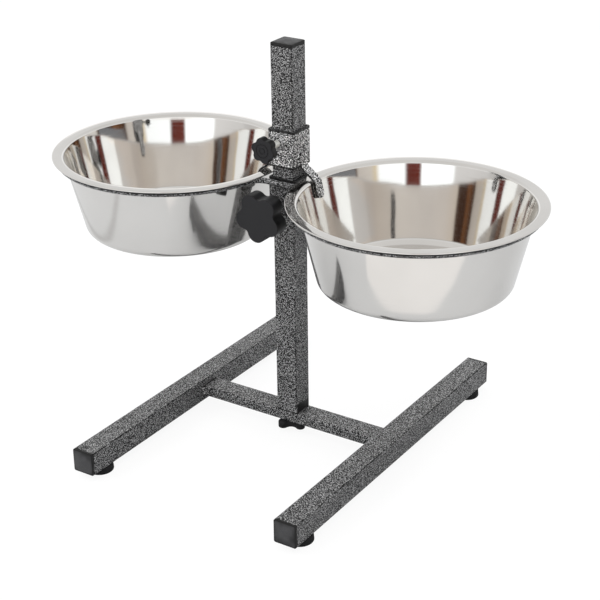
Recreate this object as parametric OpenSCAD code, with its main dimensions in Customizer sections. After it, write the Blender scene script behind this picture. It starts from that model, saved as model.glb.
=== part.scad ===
// Height-adjustable dog feeder stand with two bowls on a post.
// Millimetres, +Z up, floor at z = 0, front towards -Y, bowls side by side along X.

/* [Tubes] */
// Side of the square tube of the legs and the post
tube_w = 26; // [20:0.5:40]
// Wall of every base tube
tube_t = 1.5; // [1:0.1:3]
// Outer corner radius of every base tube
tube_r = 1.8; // [1.6:0.1:5]

/* [Base] */
// Distance between the leg centre lines
leg_span = 255; // [220:1:360]
// Length of a leg without its caps
leg_l = 404; // [320:1:600]
// Height of the crossbar
cross_h = 12; // [10:0.5:20]
// Distance of the post behind the middle of the legs
post_shift = 6; // [0:0.5:30]
// Length of the post
post_l = 415; // [380:1:700]
// Leg of the weld fillets at the crossbar's ends
base_weld = 3; // [1:0.5:5]

/* [Feet] */
// Diameter of a foot
foot_d = 29; // [15:0.5:40]
// Height of a foot under the leg
foot_h = 8; // [5:0.5:25]
// Distance of a foot's centre from the end of the leg
foot_inset = 25; // [18:0.5:60]
// Diameter of a foot's push-in stem
stem_d = 8; // [5:0.5:12]
// Length of the barb behind the leg's wall
barb_l = 4; // [2:0.5:8]

/* [Caps] */
// Thickness of the cap's flange
cap_flange = 2; // [1:0.1:4]
// Height of the four-sided crown on the flange
cap_crown = 1.5; // [0.5:0.1:4]
// Length of the plug inside the tube
cap_plug = 14; // [8:0.5:30]
// Wall of the plug
cap_wall = 2; // [1:0.1:4]
// Gap between a plug and its tube
cap_fit = 0.1; // [0.05:0.05:0.4]

/* [Sleeves] */
// Gap between the post and a sleeve on each side
sleeve_fit = 0.7; // [0.2:0.1:1]
// Wall of a sleeve
sleeve_t = 2.5; // [1.5:0.1:4]
// Height of a sleeve
sleeve_h = 40; // [30:1:80]
// Height of the carrier's lower edge above the floor
carrier_z = 262; // [90:1:300]
// Free height between the two sleeves
sleeve_gap = 12; // [10:0.5:40]

/* [Rings] */
// Diameter of the ring bar
rod_d = 6; // [4:0.5:10]
// Distance of a bowl's axis from the post
bowl_x = 151; // [146:1:220]
// Radius of the ring's centre line
ring_r = 124.5; // [123.5:0.5:127]
// Bend radius between the ring and its tails
tail_bend = 15; // [10:0.5:30]
// Distance of the bar's centre below the carrier's upper edge
ring_drop = 4.4; // [1:0.1:10]
// Gap between the ends of the two tails on one side
tail_gap = 0.6; // [0.2:0.1:4]
// Width of the weld beads under the tails
ring_weld = 2.6; // [1.5:0.1:4]

/* [Bowls] */
// Outer diameter of the rim
rim_d = 263; // [262:1:270]
// Thickness of the folded rim
rim_t = 1.8; // [1:0.1:3]
// Diameter at which the outer wall would meet the rim
wall_d = 239; // [232:0.5:240]
// Lean of the wall from upright
wall_lean = 13.5; // [6:0.1:20]
// Depth from the rim's underside to the bottom
bowl_depth = 86; // [50:1:110]
// Thickness of the sheet
sheet = 0.8; // [0.5:0.1:1.5]
// Radius of the bottom edge
base_round = 10; // [6:0.5:25]
// Radius between the wall and the rim
lip_round = 3; // [2:0.5:5]
// Diameter of the raised middle of the floor
dish_d = 150; // [80:1:170]
// Height of the raised middle of the floor
dish_h = 2; // [0.5:0.5:5]
// Lean of the raised middle's side from upright
dish_lean = 45; // [30:1:60]
// Gap between a resting rim and its ring
rest_gap = 0.1; // [0.05:0.05:0.3]

/* [Hooks] */
// Width of the hook bar
hook_w = 12; // [10:0.5:24]
// Thickness of the hook bar
hook_t = 2.5; // [2:0.1:4]
// Length of the bar along the sleeve
hook_back = 16; // [10:0.5:30]
// Gap between the hook and the bowl's wall and rim
hook_gap = 0.8; // [0.5:0.1:3]
// Depth of the hook's end below the rim's underside
hook_reach = 17; // [8:0.5:30]
// Corner radius of the hook's end
hook_round = 5; // [2:0.5:5]
// Outer bend radius of the hook bar
hook_bend = 1.2; // [0.5:0.1:2]
// Leg of the weld fillets beside the hooks
hook_weld = 2; // [1:0.5:4]

/* [Clamp screws] */
// Diameter of all screws
screw_d = 8; // [6:1:12]
// Gap between a screw and its thread, and between a tip and the post
screw_fit = 0.05; // [0.02:0.01:0.1]
// Gap all round a screw in a plain hole
hole_play = 0.5; // [0.3:0.1:1.5]
// Nut width across flats
nut_af = 13; // [10:0.5:19]
// Nut thickness
nut_h = 6.5; // [4:0.5:10]
// Screw length inside a knob
screw_grip = 6; // [4:0.5:7]

/* [Height knob] */
// Number of lobes
height_lobes = 5; // [3:1:8]
// Radius over the lobes
height_r = 26.5; // [18:0.5:35]
// Radius of one lobe
height_lobe_r = 10.5; // [5:0.5:12]
// Radius of the hollows
height_hollow_r = 6; // [4:0.5:15]
// Thickness of the star
height_star = 17; // [10:0.5:25]
// Distance of the knob's face from the sleeve
height_reach = 45.5; // [38:0.5:60]
// Length of the hub behind the star
height_hub = 13; // [6:0.5:18]
// Hub diameter
height_hub_d = 20; // [14:0.5:26]
// Height of the screw above the carrier's lower edge
height_axis = 11; // [10:0.5:25]
// Turn of the lobes
height_turn = 49.5; // [0:0.5:72]

/* [Retainer knob] */
// Number of lobes
small_lobes = 6; // [3:1:8]
// Radius over the lobes
small_r = 13.6; // [10:0.2:20]
// Radius of one lobe
small_lobe_r = 5; // [2:0.2:6]
// Radius of the hollows
small_hollow_r = 4; // [3:0.2:8]
// Thickness of the star
small_star = 8.6; // [8:0.2:20]
// Distance of the knob's face from the sleeve
small_reach = 33; // [26:0.5:45]
// Length of the hub behind the star
small_hub = 6; // [4:0.5:12]
// Hub diameter
small_hub_d = 13; // [11:0.5:18]
// Height of the screw above the retainer's lower edge
small_axis = 28; // [20:0.5:32]
// Turn of the lobes
small_turn = 45; // [0:0.5:60]
// Radius of the groove in the face
groove_r = 7; // [5:0.2:9]
// Width of the groove
groove_w = 1; // [0.5:0.1:2]
// Depth of the groove
groove_t = 0.6; // [0.3:0.1:1.5]

/* [Base knob] */
// Number of lobes
base_lobes = 4; // [3:1:8]
// Radius over the lobes
base_r = 19.2; // [14:0.2:26]
// Radius of one lobe
base_lobe_r = 4.8; // [3:0.2:8]
// Radius of the hollows
base_hollow_r = 8; // [5:0.5:16]
// Height of the knob
base_star = 8.7; // [6:0.1:10]
// Turn of the lobes
base_turn = 67; // [0:0.5:90]
// Screw length inside the base knob
base_grip = 6; // [4:0.5:8]
// Thickness of the threaded plate in the post
plate_h = 6; // [4:0.5:12]

/* [Edges] */
// Edge chamfer of the knobs
knob_edge = 0.8; // [0.3:0.1:2]
// Chamfer of screw tips and feet
small_edge = 0.8; // [0.3:0.1:2]

/* [Hidden] */
$fn = 96;
eps = 0.01;
// Depth by which a star's hollows cut into its lobes
star_bite = 0.02;

paint = [0.42, 0.42, 0.43];
black = [0.13, 0.13, 0.14];
zinc = [0.75, 0.75, 0.72];
steel = [0.85, 0.85, 0.86];

// Levels of the base and the post
tube_in = tube_w - 2 * tube_t;
leg_z = foot_h + tube_w / 2;
cross_top = leg_z + cross_h / 2;
cross_bottom = leg_z - cross_h / 2;
cross_l = leg_span - tube_w;
foot_y = leg_l / 2 - foot_inset;
post_top = cross_top + post_l;

// Sleeves and clamp screws
sleeve_in = tube_w + 2 * sleeve_fit;
sleeve_w = sleeve_in + 2 * sleeve_t;
sleeve_r = tube_r + sleeve_t / 2;
retainer_z = carrier_z + sleeve_h + sleeve_gap;
carrier_axis = carrier_z + height_axis;
retainer_axis = retainer_z + small_axis;
tip_y = -tube_w / 2 - 2 * screw_fit;
hole_d = screw_d + 2 * hole_play;
thread_d = screw_d + 2 * screw_fit;

// Rings
rod_r = rod_d / 2;
ring_z = carrier_z + sleeve_h - ring_drop;
tail_y = sleeve_w / 2 + rod_r;
bend_y = tail_y + tail_bend;
bend_x = sqrt(pow(ring_r + tail_bend, 2) - bend_y * bend_y);
bend_turn = atan2(bend_y, bend_x);
tail_l = bowl_x - bend_x - tail_gap / 2;
// Overlap and radius step where a bend runs into its ring and its tail
joint_l = 0.3;
joint_step = 0.02;

// Bowl profile: radii and heights measured from the rim's underside
rest_z = ring_z + rod_r + rest_gap;
rim_r = rim_d / 2;
lean = tan(wall_lean);
wall_x = sheet / cos(wall_lean);
floor_z = -bowl_depth;
function wall_r(z) = wall_d / 2 + z * lean;
corner_z = floor_z + base_round;
corner_r = wall_r(corner_z) - base_round / cos(wall_lean);
lip_in = lip_round + sheet;
lip_r = wall_r(rim_t) - wall_x + lip_in / tan((90 + wall_lean) / 2);

// Hook profile: X and Z of the face that looks at the sleeve and the bowl's wall.
// The arm passes the rounded inner edge of the rim, then meets a line beside the wall.
hook_x0 = sleeve_w / 2;
hook_clear = hook_gap + hook_w * hook_w / (4 * wall_d);
function hook_x(depth) = bowl_x - wall_r(-depth) + wall_x + hook_clear;
lip = [bowl_x - lip_r - hook_x0, retainer_z - rest_z - rim_t + lip_in];
hook_slope = atan2(lip[1], lip[0]) - asin((lip_in + hook_clear) / norm(lip));
hook_arm = (hook_x(rest_z - retainer_z) - hook_x0) / (cos(hook_slope) - lean * sin(hook_slope));
hook_end_z = rest_z - hook_reach;
hook_top_z = retainer_z + hook_back;

// Square with round corners, centred
module soft_square(w, h, r) {
    square([w - 2 * r, h], center = true);
    square([w, h - 2 * r], center = true);
    for (x = [-1, 1], y = [-1, 1])
        translate([x * (w / 2 - r), y * (h / 2 - r)]) circle(r);
}

// Rectangular tube along Z, centred
module tube(w, h, r, t, l) {
    linear_extrude(l, center = true) difference() {
        soft_square(w, h, r);
        soft_square(w - 2 * t, h - 2 * t, max(r - t, eps));
    }
}

// Star outline: round lobes that run smoothly into round hollows
module star(count, tip, lobe, hollow) {
    c = tip - lobe;
    half = 180 / count;
    e = c * cos(half) + sqrt(pow(lobe + hollow - star_bite, 2) - pow(c * sin(half), 2));
    difference() {
        union() {
            polygon([for (k = [0 : 2 * count - 1]) let (r = k % 2 == 0 ? c : e)
                [r * cos(k * half), r * sin(k * half)]]);
            for (k = [0 : count - 1]) rotate(360 / count * k) translate([c, 0]) circle(lobe);
        }
        for (k = [0 : count - 1]) rotate(360 / count * k + half) translate([e, 0]) circle(hollow);
    }
}

// Star knob body along Z from 0 to h, lobe edges chamfered
module star_body(count, tip, lobe, hollow, h, turn) {
    low = tip - knob_edge;
    wide = tip + knob_edge;
    rise = 2 * knob_edge;
    intersection() {
        rotate(turn) linear_extrude(h) star(count, tip, lobe, hollow);
        rotate_extrude() polygon([[0, 0], [low, 0], [wide, rise], [wide, h - rise], [low, h], [0, h]]);
    }
}

// Screw along Z from 0 to l with a chamfered tip at l
module screw(l) {
    cylinder(h = l - small_edge, d = screw_d);
    translate([0, 0, l - small_edge]) cylinder(h = small_edge, d1 = screw_d, d2 = screw_d - 2 * small_edge);
}

// Turn a part built along +Z so that it points to the front, at the post's axis and height z
module to_front(z) {
    translate([0, post_shift, z]) rotate([90, 0, 0]) children();
}

// Leg tube with a hole for each foot's stem
module leg(side) {
    color(paint) translate([side * leg_span / 2, 0, leg_z]) difference() {
        rotate([90, 0, 0]) tube(tube_w, tube_w, tube_r, tube_t, leg_l);
        for (s = [-1, 1]) translate([0, s * foot_y, -tube_w / 2 - eps])
            cylinder(h = tube_t + 2 * eps, d = stem_d + 2 * screw_fit);
    }
}

// Plug with a crowned flange; the tube's end face is z = 0 and the crown points to +Z
module cap() {
    plug_w = tube_in - 2 * cap_fit;
    plug_r = max(tube_r - tube_t, 2 * eps);
    linear_extrude(cap_flange) soft_square(tube_w, tube_w, tube_r);
    crown = tube_w / 2 - tube_r / 2;
    translate([0, 0, cap_flange]) intersection_for (a = [0, 90]) rotate([90, 0, a])
        linear_extrude(2 * crown, center = true) polygon([[-crown, 0], [crown, 0], [0, cap_crown]]);
    translate([0, 0, -cap_plug]) linear_extrude(cap_plug) difference() {
        soft_square(plug_w, plug_w, plug_r);
        square(plug_w - 2 * cap_wall, center = true);
    }
}

// Cap in a leg's end
module leg_cap(side, end) {
    color(black) translate([side * leg_span / 2, end * leg_l / 2, leg_z]) rotate([-end * 90, 0, 0]) cap();
}

// Round foot with a barbed stem through the leg's lower wall
module foot(side, end) {
    r = foot_d / 2;
    s = stem_d / 2;
    color(black) translate([side * leg_span / 2, end * foot_y, 0]) rotate_extrude() polygon([
        [0, 0], [r - small_edge, 0], [r, small_edge], [r - small_edge, foot_h], [s, foot_h],
        [s, foot_h + tube_t + screw_fit], [s + small_edge / 2, foot_h + tube_t + screw_fit],
        [s - small_edge, foot_h + tube_t + barb_l], [0, foot_h + tube_t + barb_l]]);
}

module left_leg() leg(-1);
module right_leg() leg(1);
module front_left_cap() leg_cap(-1, -1);
module front_right_cap() leg_cap(1, -1);
module rear_left_cap() leg_cap(-1, 1);
module rear_right_cap() leg_cap(1, 1);
module front_left_foot() foot(-1, -1);
module front_right_foot() foot(1, -1);
module rear_left_foot() foot(-1, 1);
module rear_right_foot() foot(1, 1);

module crossbar() {
    color(paint) translate([0, post_shift, leg_z]) difference() {
        rotate([90, 0, 90]) tube(tube_w, cross_h, tube_r, tube_t, cross_l);
        cylinder(h = cross_h + 2 * eps, d = hole_d, center = true);
    }
}

// Upright fillets in the four corners between the crossbar and the legs
module base_welds() {
    color(paint) for (x = [-1, 1], y = [-1, 1])
        translate([x * cross_l / 2, post_shift + y * tube_w / 2, leg_z])
            linear_extrude(cross_h - 2 * tube_r, center = true)
                polygon([[0, 0], [-x * base_weld, 0], [0, y * base_weld]]);
}

module base_knob() {
    color(black) translate([0, post_shift, cross_bottom - 2 * screw_fit - base_star]) difference() {
        star_body(base_lobes, base_r, base_lobe_r, base_hollow_r, base_star, base_turn);
        translate([0, 0, base_star - base_grip]) cylinder(h = base_grip + eps, d = thread_d);
    }
}

module base_screw() {
    color(zinc) translate([0, post_shift, cross_bottom - 2 * screw_fit - base_grip + screw_fit])
        screw(base_grip + cross_h + plate_h);
}

module post() {
    color(paint) translate([0, post_shift, cross_top + post_l / 2])
        tube(tube_w, tube_w, tube_r, tube_t, post_l);
}

module post_nut_plate() {
    color(zinc) translate([0, post_shift, cross_top]) linear_extrude(plate_h) difference() {
        soft_square(tube_in - 2 * cap_fit, tube_in - 2 * cap_fit, max(tube_r - tube_t, 2 * eps));
        circle(d = thread_d);
    }
}

module post_cap() {
    color(black) translate([0, post_shift, post_top]) cap();
}

// Square sleeve on the post with a hole in front for a screw
module sleeve(z, axis) {
    color(paint) difference() {
        translate([0, post_shift, z + sleeve_h / 2])
            tube(sleeve_w, sleeve_w, sleeve_r, sleeve_t, sleeve_h);
        to_front(axis) cylinder(h = sleeve_w, d = hole_d);
    }
}

// Weld nut on the front of a sleeve
module weld_nut(axis) {
    color(paint) to_front(axis) translate([0, 0, sleeve_w / 2]) linear_extrude(nut_h) difference() {
        circle(d = nut_af / cos(30), $fn = 6);
        circle(d = thread_d);
    }
}

// Clamping stud from the post's front face into a knob whose face is `reach` off the sleeve
module clamp_screw(axis, reach, star_h) {
    root = sleeve_w / 2 + reach - star_h + screw_grip - screw_fit;
    color(zinc) to_front(axis) translate([0, 0, root]) mirror([0, 0, 1]) screw(root + tip_y);
}

// Knob on a clamping stud: star in front, hub behind
module clamp_knob(axis, reach, star_h, hub_l, hub_d) {
    color(black) to_front(axis) translate([0, 0, sleeve_w / 2 + reach - star_h]) difference() {
        union() {
            children();
            translate([0, 0, -hub_l]) cylinder(h = hub_l + knob_edge, d = hub_d);
        }
        translate([0, 0, -hub_l - eps]) cylinder(h = hub_l + screw_grip + eps, d = thread_d);
    }
}

module carrier_collar() sleeve(carrier_z, carrier_axis);
module retainer_collar() sleeve(retainer_z, retainer_axis);
module height_nut() weld_nut(carrier_axis);
module retainer_nut() weld_nut(retainer_axis);
module height_screw() clamp_screw(carrier_axis, height_reach, height_star);
module retainer_screw() clamp_screw(retainer_axis, small_reach, small_star);

module height_knob() {
    clamp_knob(carrier_axis, height_reach, height_star, height_hub, height_hub_d)
        star_body(height_lobes, height_r, height_lobe_r, height_hollow_r, height_star, height_turn);
}

module retainer_knob() {
    clamp_knob(retainer_axis, small_reach, small_star, small_hub, small_hub_d) difference() {
        star_body(small_lobes, small_r, small_lobe_r, small_hollow_r, small_star, small_turn);
        translate([0, 0, small_star - groove_t]) linear_extrude(groove_t + eps) difference() {
            circle(groove_r + groove_w / 2);
            circle(groove_r - groove_w / 2);
        }
    }
}

// Wedge of the XY plane from angle a0 over angle a below 180, r long
module wedge(r, a0, a) {
    polygon([[0, 0], r * [cos(a0), sin(a0)], r / cos(a / 2) * [cos(a0 + a / 2), sin(a0 + a / 2)],
        r * [cos(a0 + a), sin(a0 + a)]]);
}

// Bowl ring on the +X side with its two tails
module ring() {
    over = joint_l / tail_bend * 180 / PI;
    translate([bowl_x, 0, 0]) difference() {
        rotate_extrude() translate([ring_r, 0]) circle(rod_r);
        linear_extrude(2 * rod_d, center = true) wedge(ring_r + rod_d, 180 - bend_turn, 2 * bend_turn);
    }
    for (flip = [0, 180]) rotate([flip, 0, 0]) {
        translate([bowl_x - bend_x, bend_y, 0]) intersection() {
            rotate_extrude() translate([tail_bend, 0]) circle(rod_r - joint_step);
            linear_extrude(2 * rod_d, center = true)
                wedge(tail_bend + rod_d, -90 - over, 90 - bend_turn + 2 * over);
        }
        translate([tail_gap / 2, tail_y, 0]) rotate([0, 90, 0]) cylinder(h = tail_l, r = rod_r);
    }
}

module right_ring() {
    color(paint) translate([0, post_shift, ring_z]) ring();
}

module left_ring() {
    color(paint) translate([0, post_shift, ring_z]) mirror([1, 0, 0]) ring();
}

// Fillets under the tails, on the collar's front and back
module ring_welds() {
    flat = sleeve_w - 2 * sleeve_r;
    color(paint) for (y = [-1, 1]) translate([0, post_shift, ring_z]) difference() {
        rotate([90, 0, 90]) linear_extrude(flat, center = true)
            polygon([[y * sleeve_w / 2, 0], [y * tail_y, 0], [y * tail_y, -rod_r],
                [y * sleeve_w / 2, -rod_r - ring_weld]]);
        translate([0, y * tail_y, 0]) rotate([0, 90, 0]) cylinder(h = 2 * flat, r = rod_r, center = true);
    }
}

// Side view of the hook: flat bar along the sleeve, over the rim and down the bowl's wall
module hook_side() {
    half = (90 - hook_slope - wall_lean) / 2;
    knee = [hook_x0, retainer_z];
    dip = knee + hook_arm * [cos(hook_slope), -sin(hook_slope)];
    end = [hook_x(hook_reach), hook_end_z];
    n1 = [sin(hook_slope), cos(hook_slope)];
    n2 = [cos(wall_lean), sin(wall_lean)];
    out = [cos(half + wall_lean), sin(half + wall_lean)];
    mitre = dip + hook_t / cos(half) * out;
    bend = min(hook_bend, hook_t / 2 - eps);
    run = bend * tan(half);
    polygon([[hook_x0, hook_top_z], knee, dip, end, end + hook_t * n2,
        mitre + run * [n2[1], -n2[0]], mitre - run * [n1[1], -n1[0]],
        knee + hook_t * [1, (1 - n1[0]) / n1[1]], [hook_x0 + hook_t, hook_top_z]]);
    translate(dip + (hook_t - bend) / cos(half) * out) circle(bend);
}

// Hook on the +X side
module hook() {
    intersection() {
        rotate([90, 0, 0]) linear_extrude(hook_w, center = true) hook_side();
        rotate([90, 0, 90]) linear_extrude(bowl_x) {
            translate([-hook_w / 2, hook_end_z + hook_round])
                square([hook_w, hook_top_z - hook_end_z]);
            translate([0, hook_end_z + 2 * hook_round]) soft_square(hook_w, 4 * hook_round, hook_round);
        }
    }
}

module right_hook() {
    color(paint) translate([0, post_shift, 0]) hook();
}

module left_hook() {
    color(paint) translate([0, post_shift, 0]) mirror([1, 0, 0]) hook();
}

// Upright fillets along the hooks' edges on the collar
module hook_welds() {
    color(paint) for (x = [-1, 1], y = [-1, 1])
        translate([x * sleeve_w / 2, post_shift + y * hook_w / 2, retainer_z + hook_t])
            linear_extrude(hook_back - 2 * hook_t)
                polygon([[0, 0], [x * hook_weld, 0], [0, y * hook_weld]]);
}

// Outline of the bowl filled to its axis, with the rounding under the rim
module bowl_outer() {
    c = [wall_d / 2 + lip_round / tan((90 + wall_lean) / 2), -lip_round];
    difference() {
        union() {
            polygon([[0, floor_z], [corner_r, floor_z],
                [corner_r + base_round * cos(wall_lean), corner_z - base_round * sin(wall_lean)],
                c + lip_round * [-cos(wall_lean), sin(wall_lean)], [c[0], 0],
                [rim_r - rim_t / 2, 0], [rim_r - rim_t / 2, rim_t], [0, rim_t]]);
            translate([corner_r, corner_z]) circle(base_round);
            translate([rim_r - rim_t / 2, rim_t / 2]) circle(rim_t / 2);
        }
        translate(c) circle(lip_round);
    }
}

// Outline of the hollow, with the rounded inner edge of the rim
module bowl_inner() {
    r = base_round - sheet;
    c = [lip_r, rim_t - lip_in];
    difference() {
        union() {
            polygon([[0, floor_z + sheet], [corner_r, floor_z + sheet],
                [corner_r + r * cos(wall_lean), corner_z - r * sin(wall_lean)],
                c + lip_in * [-cos(wall_lean), sin(wall_lean)], [c[0], rim_t],
                [c[0], 2 * rim_t], [0, 2 * rim_t]]);
            translate([corner_r, corner_z]) circle(r);
        }
        translate(c) circle(lip_in);
    }
}

// Raised middle of the floor with sloping sides, a sheet of thickness s above the underside
module dish(s) {
    r = dish_d / 2 + s * tan((90 - dish_lean) / 2);
    z = floor_z + s;
    foot = r + (dish_h + sheet) * tan(dish_lean);
    polygon([[0, z - sheet], [foot, z - sheet], [r, z + dish_h], [0, z + dish_h]]);
}

// Bowl with its rim's underside at z = 0
module bowl() {
    rotate_extrude() difference() {
        bowl_outer();
        dish(0);
        difference() {
            bowl_inner();
            dish(sheet);
        }
    }
}

module right_bowl() {
    color(steel) translate([bowl_x, post_shift, rest_z]) bowl();
}

module left_bowl() {
    color(steel) translate([-bowl_x, post_shift, rest_z]) bowl();
}

left_leg();
right_leg();
crossbar();
base_welds();
front_left_cap();
front_right_cap();
rear_left_cap();
rear_right_cap();
front_left_foot();
front_right_foot();
rear_left_foot();
rear_right_foot();
base_knob();
base_screw();
post();
post_nut_plate();
post_cap();
carrier_collar();
left_ring();
right_ring();
ring_welds();
height_nut();
height_screw();
height_knob();
retainer_collar();
left_hook();
right_hook();
hook_welds();
retainer_nut();
retainer_screw();
retainer_knob();
left_bowl();
right_bowl();
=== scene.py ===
"""Looks of the dog feeder stand: finishes, detailed pieces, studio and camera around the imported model.

Sizes in the classes are millimetres and Blender's own are metres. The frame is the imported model's:
+X towards the right bowl, -Y towards the front, +Z up, the floor at z = 0.
"""

import logging
import math
from dataclasses import dataclass, field, replace
from enum import Enum
from typing import Callable, ClassVar, Sequence, Union

import bpy
import numpy as np
from mathutils import Matrix, Vector

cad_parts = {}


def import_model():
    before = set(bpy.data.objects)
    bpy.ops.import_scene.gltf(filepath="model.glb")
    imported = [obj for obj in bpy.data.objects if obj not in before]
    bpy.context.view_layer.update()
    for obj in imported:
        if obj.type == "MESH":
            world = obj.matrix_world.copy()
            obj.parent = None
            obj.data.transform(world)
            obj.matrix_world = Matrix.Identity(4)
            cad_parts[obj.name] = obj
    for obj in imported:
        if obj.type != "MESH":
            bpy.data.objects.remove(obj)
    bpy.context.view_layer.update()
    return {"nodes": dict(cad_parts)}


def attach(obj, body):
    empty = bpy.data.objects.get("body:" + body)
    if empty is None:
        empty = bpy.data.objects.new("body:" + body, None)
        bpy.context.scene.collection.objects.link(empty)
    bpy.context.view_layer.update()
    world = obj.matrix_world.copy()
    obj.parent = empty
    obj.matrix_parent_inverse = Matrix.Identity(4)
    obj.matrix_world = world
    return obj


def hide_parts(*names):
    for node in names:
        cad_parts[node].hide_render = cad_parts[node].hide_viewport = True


Array = np.ndarray
Colour = tuple[float, float, float]
Point = tuple[float, float, float]
Pair = tuple[float, float]
Span = tuple[float, float]
Place = Callable[[Array], Array]
Socket = bpy.types.NodeSocket
Sockets = Sequence[Socket]
Feed = Union[Socket, float, Colour]
Inputs = dict[str | int, Feed]

LOG = logging.getLogger("feeder_stand")
BLACK: Colour = (0.0, 0.0, 0.0)
WHITE: Colour = (1.0, 1.0, 1.0)

# Metres in a millimetre, and the distance in metres below which a row's points are one pole
MM = 0.001
POLE = 1e-7

# Square tube of the legs and the post
TUBE = 26.0
TUBE_WALL = 1.5
TUBE_CORNER = 1.8

# Place of the post's axis, and of the bowls' axes on both sides of it
POST_Y = 6.0
BOWL_X = 151.0

# Points on each corner of a soft rectangle, and shares of the way along each of its sides
CORNER_POINTS = 9
SIDE_SHARES = (0.03, 0.3, 0.7, 0.97)


class Body(Enum):
    """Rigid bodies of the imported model."""

    BASE = "base"
    BASE_CLAMP = "base_clamp"
    CARRIER = "carrier"
    HEIGHT_CLAMP = "height_clamp"
    RETAINER = "retainer"
    RETAINER_CLAMP = "retainer_clamp"
    LEFT_DISH = "left_dish"
    RIGHT_DISH = "right_dish"


class Look(Enum):
    """Finishes of the stand: the name of each material and the record's slot that it stands for."""

    PAINT = ("hammer_paint", "paint")
    # Brighter copy of the hammer paint, on the retainer, its hooks and nut, and the welds
    FRESH_PAINT = ("fresh_hammer_paint", "paint")
    CAP = ("cap_plastic", "cap_plastic")
    FOOT = ("foot_rubber", "foot_rubber")
    KNOB = ("knob_plastic", "knob_plastic")
    ZINC = ("zinc_plate", "zinc")
    STEEL = ("polished_steel", "stainless")

    @property
    def label(self) -> str:
        """Name of the material."""
        return self.value[0]

    @property
    def slot(self) -> str:
        """Name of the record's slot."""
        return self.value[1]


class Way(Enum):
    """Direction along one axis, as its sign."""

    @property
    def word(self) -> str:
        """Name as the pieces' names have it."""
        return self.name.lower()


class Side(Way):
    """Left and right of the post, as the sign of X."""

    LEFT = -1
    RIGHT = 1


class End(Way):
    """Front and rear of a leg, as the sign of Y."""

    FRONT = -1
    REAR = 1


class Facing(Enum):
    """Direction that a shape's own +Z is turned to, as the rows of the turning matrix."""

    UP = ((1, 0, 0), (0, 1, 0), (0, 0, 1))
    DOWN = ((1, 0, 0), (0, -1, 0), (0, 0, -1))
    FRONT = ((1, 0, 0), (0, 0, -1), (0, 1, 0))
    REAR = ((1, 0, 0), (0, 0, 1), (0, -1, 0))
    RIGHT = ((0, 0, 1), (1, 0, 0), (0, 1, 0))

    def at(self, x: float = 0.0, y: float = 0.0, z: float = 0.0) -> Place:
        """Place that turns a grid and moves it: matrix times point plus (x, y, z)."""
        return lambda grid: grid @ np.array(self.value, float).T + np.array([x, y, z])


class Kind(Enum):
    """Kinds of sockets on a node group."""

    VALUE = "NodeSocketFloat"
    COLOUR = "NodeSocketColor"
    VECTOR = "NodeSocketVector"


def arc(cx: float, cy: float, radius: float, start: float, stop: float, count: int) -> Array:
    """Points of a circular arc: the centre plus radius times (cos, sin) of evenly spaced angles.

    Args:
        cx: First coordinate of the centre.
        cy: Second coordinate of the centre.
        radius: Radius of the arc.
        start: First angle in degrees.
        stop: Last angle in degrees.
        count: Number of points.

    Returns:
        An array of count rows and 2 columns.
    """
    t = np.radians(np.linspace(start, stop, count))
    return np.column_stack([cx + radius * np.cos(t), cy + radius * np.sin(t)])


def smooth_step(x: Array, low: float, high: float) -> Array:
    """Cubic step 3s^2 - 2s^3 of s, the share of the way from low to high, clipped to 0..1."""
    s = np.clip((x - low) / (high - low), 0.0, 1.0)
    return s * s * (3.0 - 2.0 * s)


def unit(vectors: Array) -> Array:
    """Rows scaled to length 1."""
    return vectors / np.linalg.norm(vectors, axis=1, keepdims=True)


def full_turn(count: int) -> Array:
    """Evenly spaced angles of a full turn in radians, without the last."""
    return np.linspace(0.0, 2.0 * np.pi, count, endpoint=False)


def rows_from_end(count: int) -> Array:
    """Number of rows from each row of a grid to the nearer end."""
    rows = np.arange(count)
    return np.minimum(rows, rows[::-1])


def soft_rectangle(half_x: Array, half_y: Array, corner: Array, points: int = CORNER_POINTS) -> Array:
    """Outlines of rectangles with round corners, one outline in each row.

    Every corner is a quarter circle about (half - corner), and every side has points close to its corners,
    so that the flat between them keeps a flat shading.

    Args:
        half_x: Half widths, one for each outline.
        half_y: Half heights, one for each outline.
        corner: Corner radii, one for each outline.
        points: Points on each corner.

    Returns:
        An array of outlines by points by 2.
    """
    hx, hy, r = (v[:, None] for v in (half_x, half_y, corner))
    turns = []
    for quarter, (sx, sy) in enumerate(((1, 1), (-1, 1), (-1, -1), (1, -1))):
        a = np.radians(np.linspace(0.0, 90.0, points) + 90.0 * quarter)
        turns.append(np.stack([sx * (hx - r) + r * np.cos(a), sy * (hy - r) + r * np.sin(a)], -1))
    shares = np.array(SIDE_SHARES)[:, None]
    outline = []
    for turn, after in zip(turns, turns[1:] + turns[:1]):
        first, last = turn[:, -1:], after[:, :1]
        outline += [turn, first + (last - first) * shares]
    return np.concatenate(outline, axis=1)


def lifted(flat: Array, z: Array) -> Array:
    """Outlines with a height for each: a point (x, y) of row k becomes (x, y, z[k])."""
    return np.concatenate([flat, np.broadcast_to(z[:, None, None], flat.shape[:2] + (1,))], -1)


def round_grid(radius: Array, z: Array) -> Array:
    """Grid about Z from polar radii, rows by columns, and a height for each row: (r cos t, r sin t, z)."""
    t = full_turn(radius.shape[1])
    return lifted(np.stack([radius * np.cos(t), radius * np.sin(t)], -1), z)


def revolve(profile: Array, count: int) -> Array:
    """Surface of revolution about Z: each profile point (r, z) becomes a circle of radius r at height z."""
    return round_grid(np.broadcast_to(profile[:, :1], (len(profile), count)), profile[:, 1])


def sweep(path: Array, tangent: Array, up: Array, section: Array) -> Array:
    """Profile carried along a path: point + a side + b up for section points (a, b), side = up x tangent.

    Args:
        path: Points of the path, n by 3.
        tangent: Unit tangents, n by 3.
        up: Unit vectors square to the tangents, n by 3.
        section: Section points, n by m by 2.

    Returns:
        A grid of n by m by 3.
    """
    side = np.cross(up, tangent)
    return path[:, None] + section[..., :1] * side[:, None] + section[..., 1:] * up[:, None]


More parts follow.
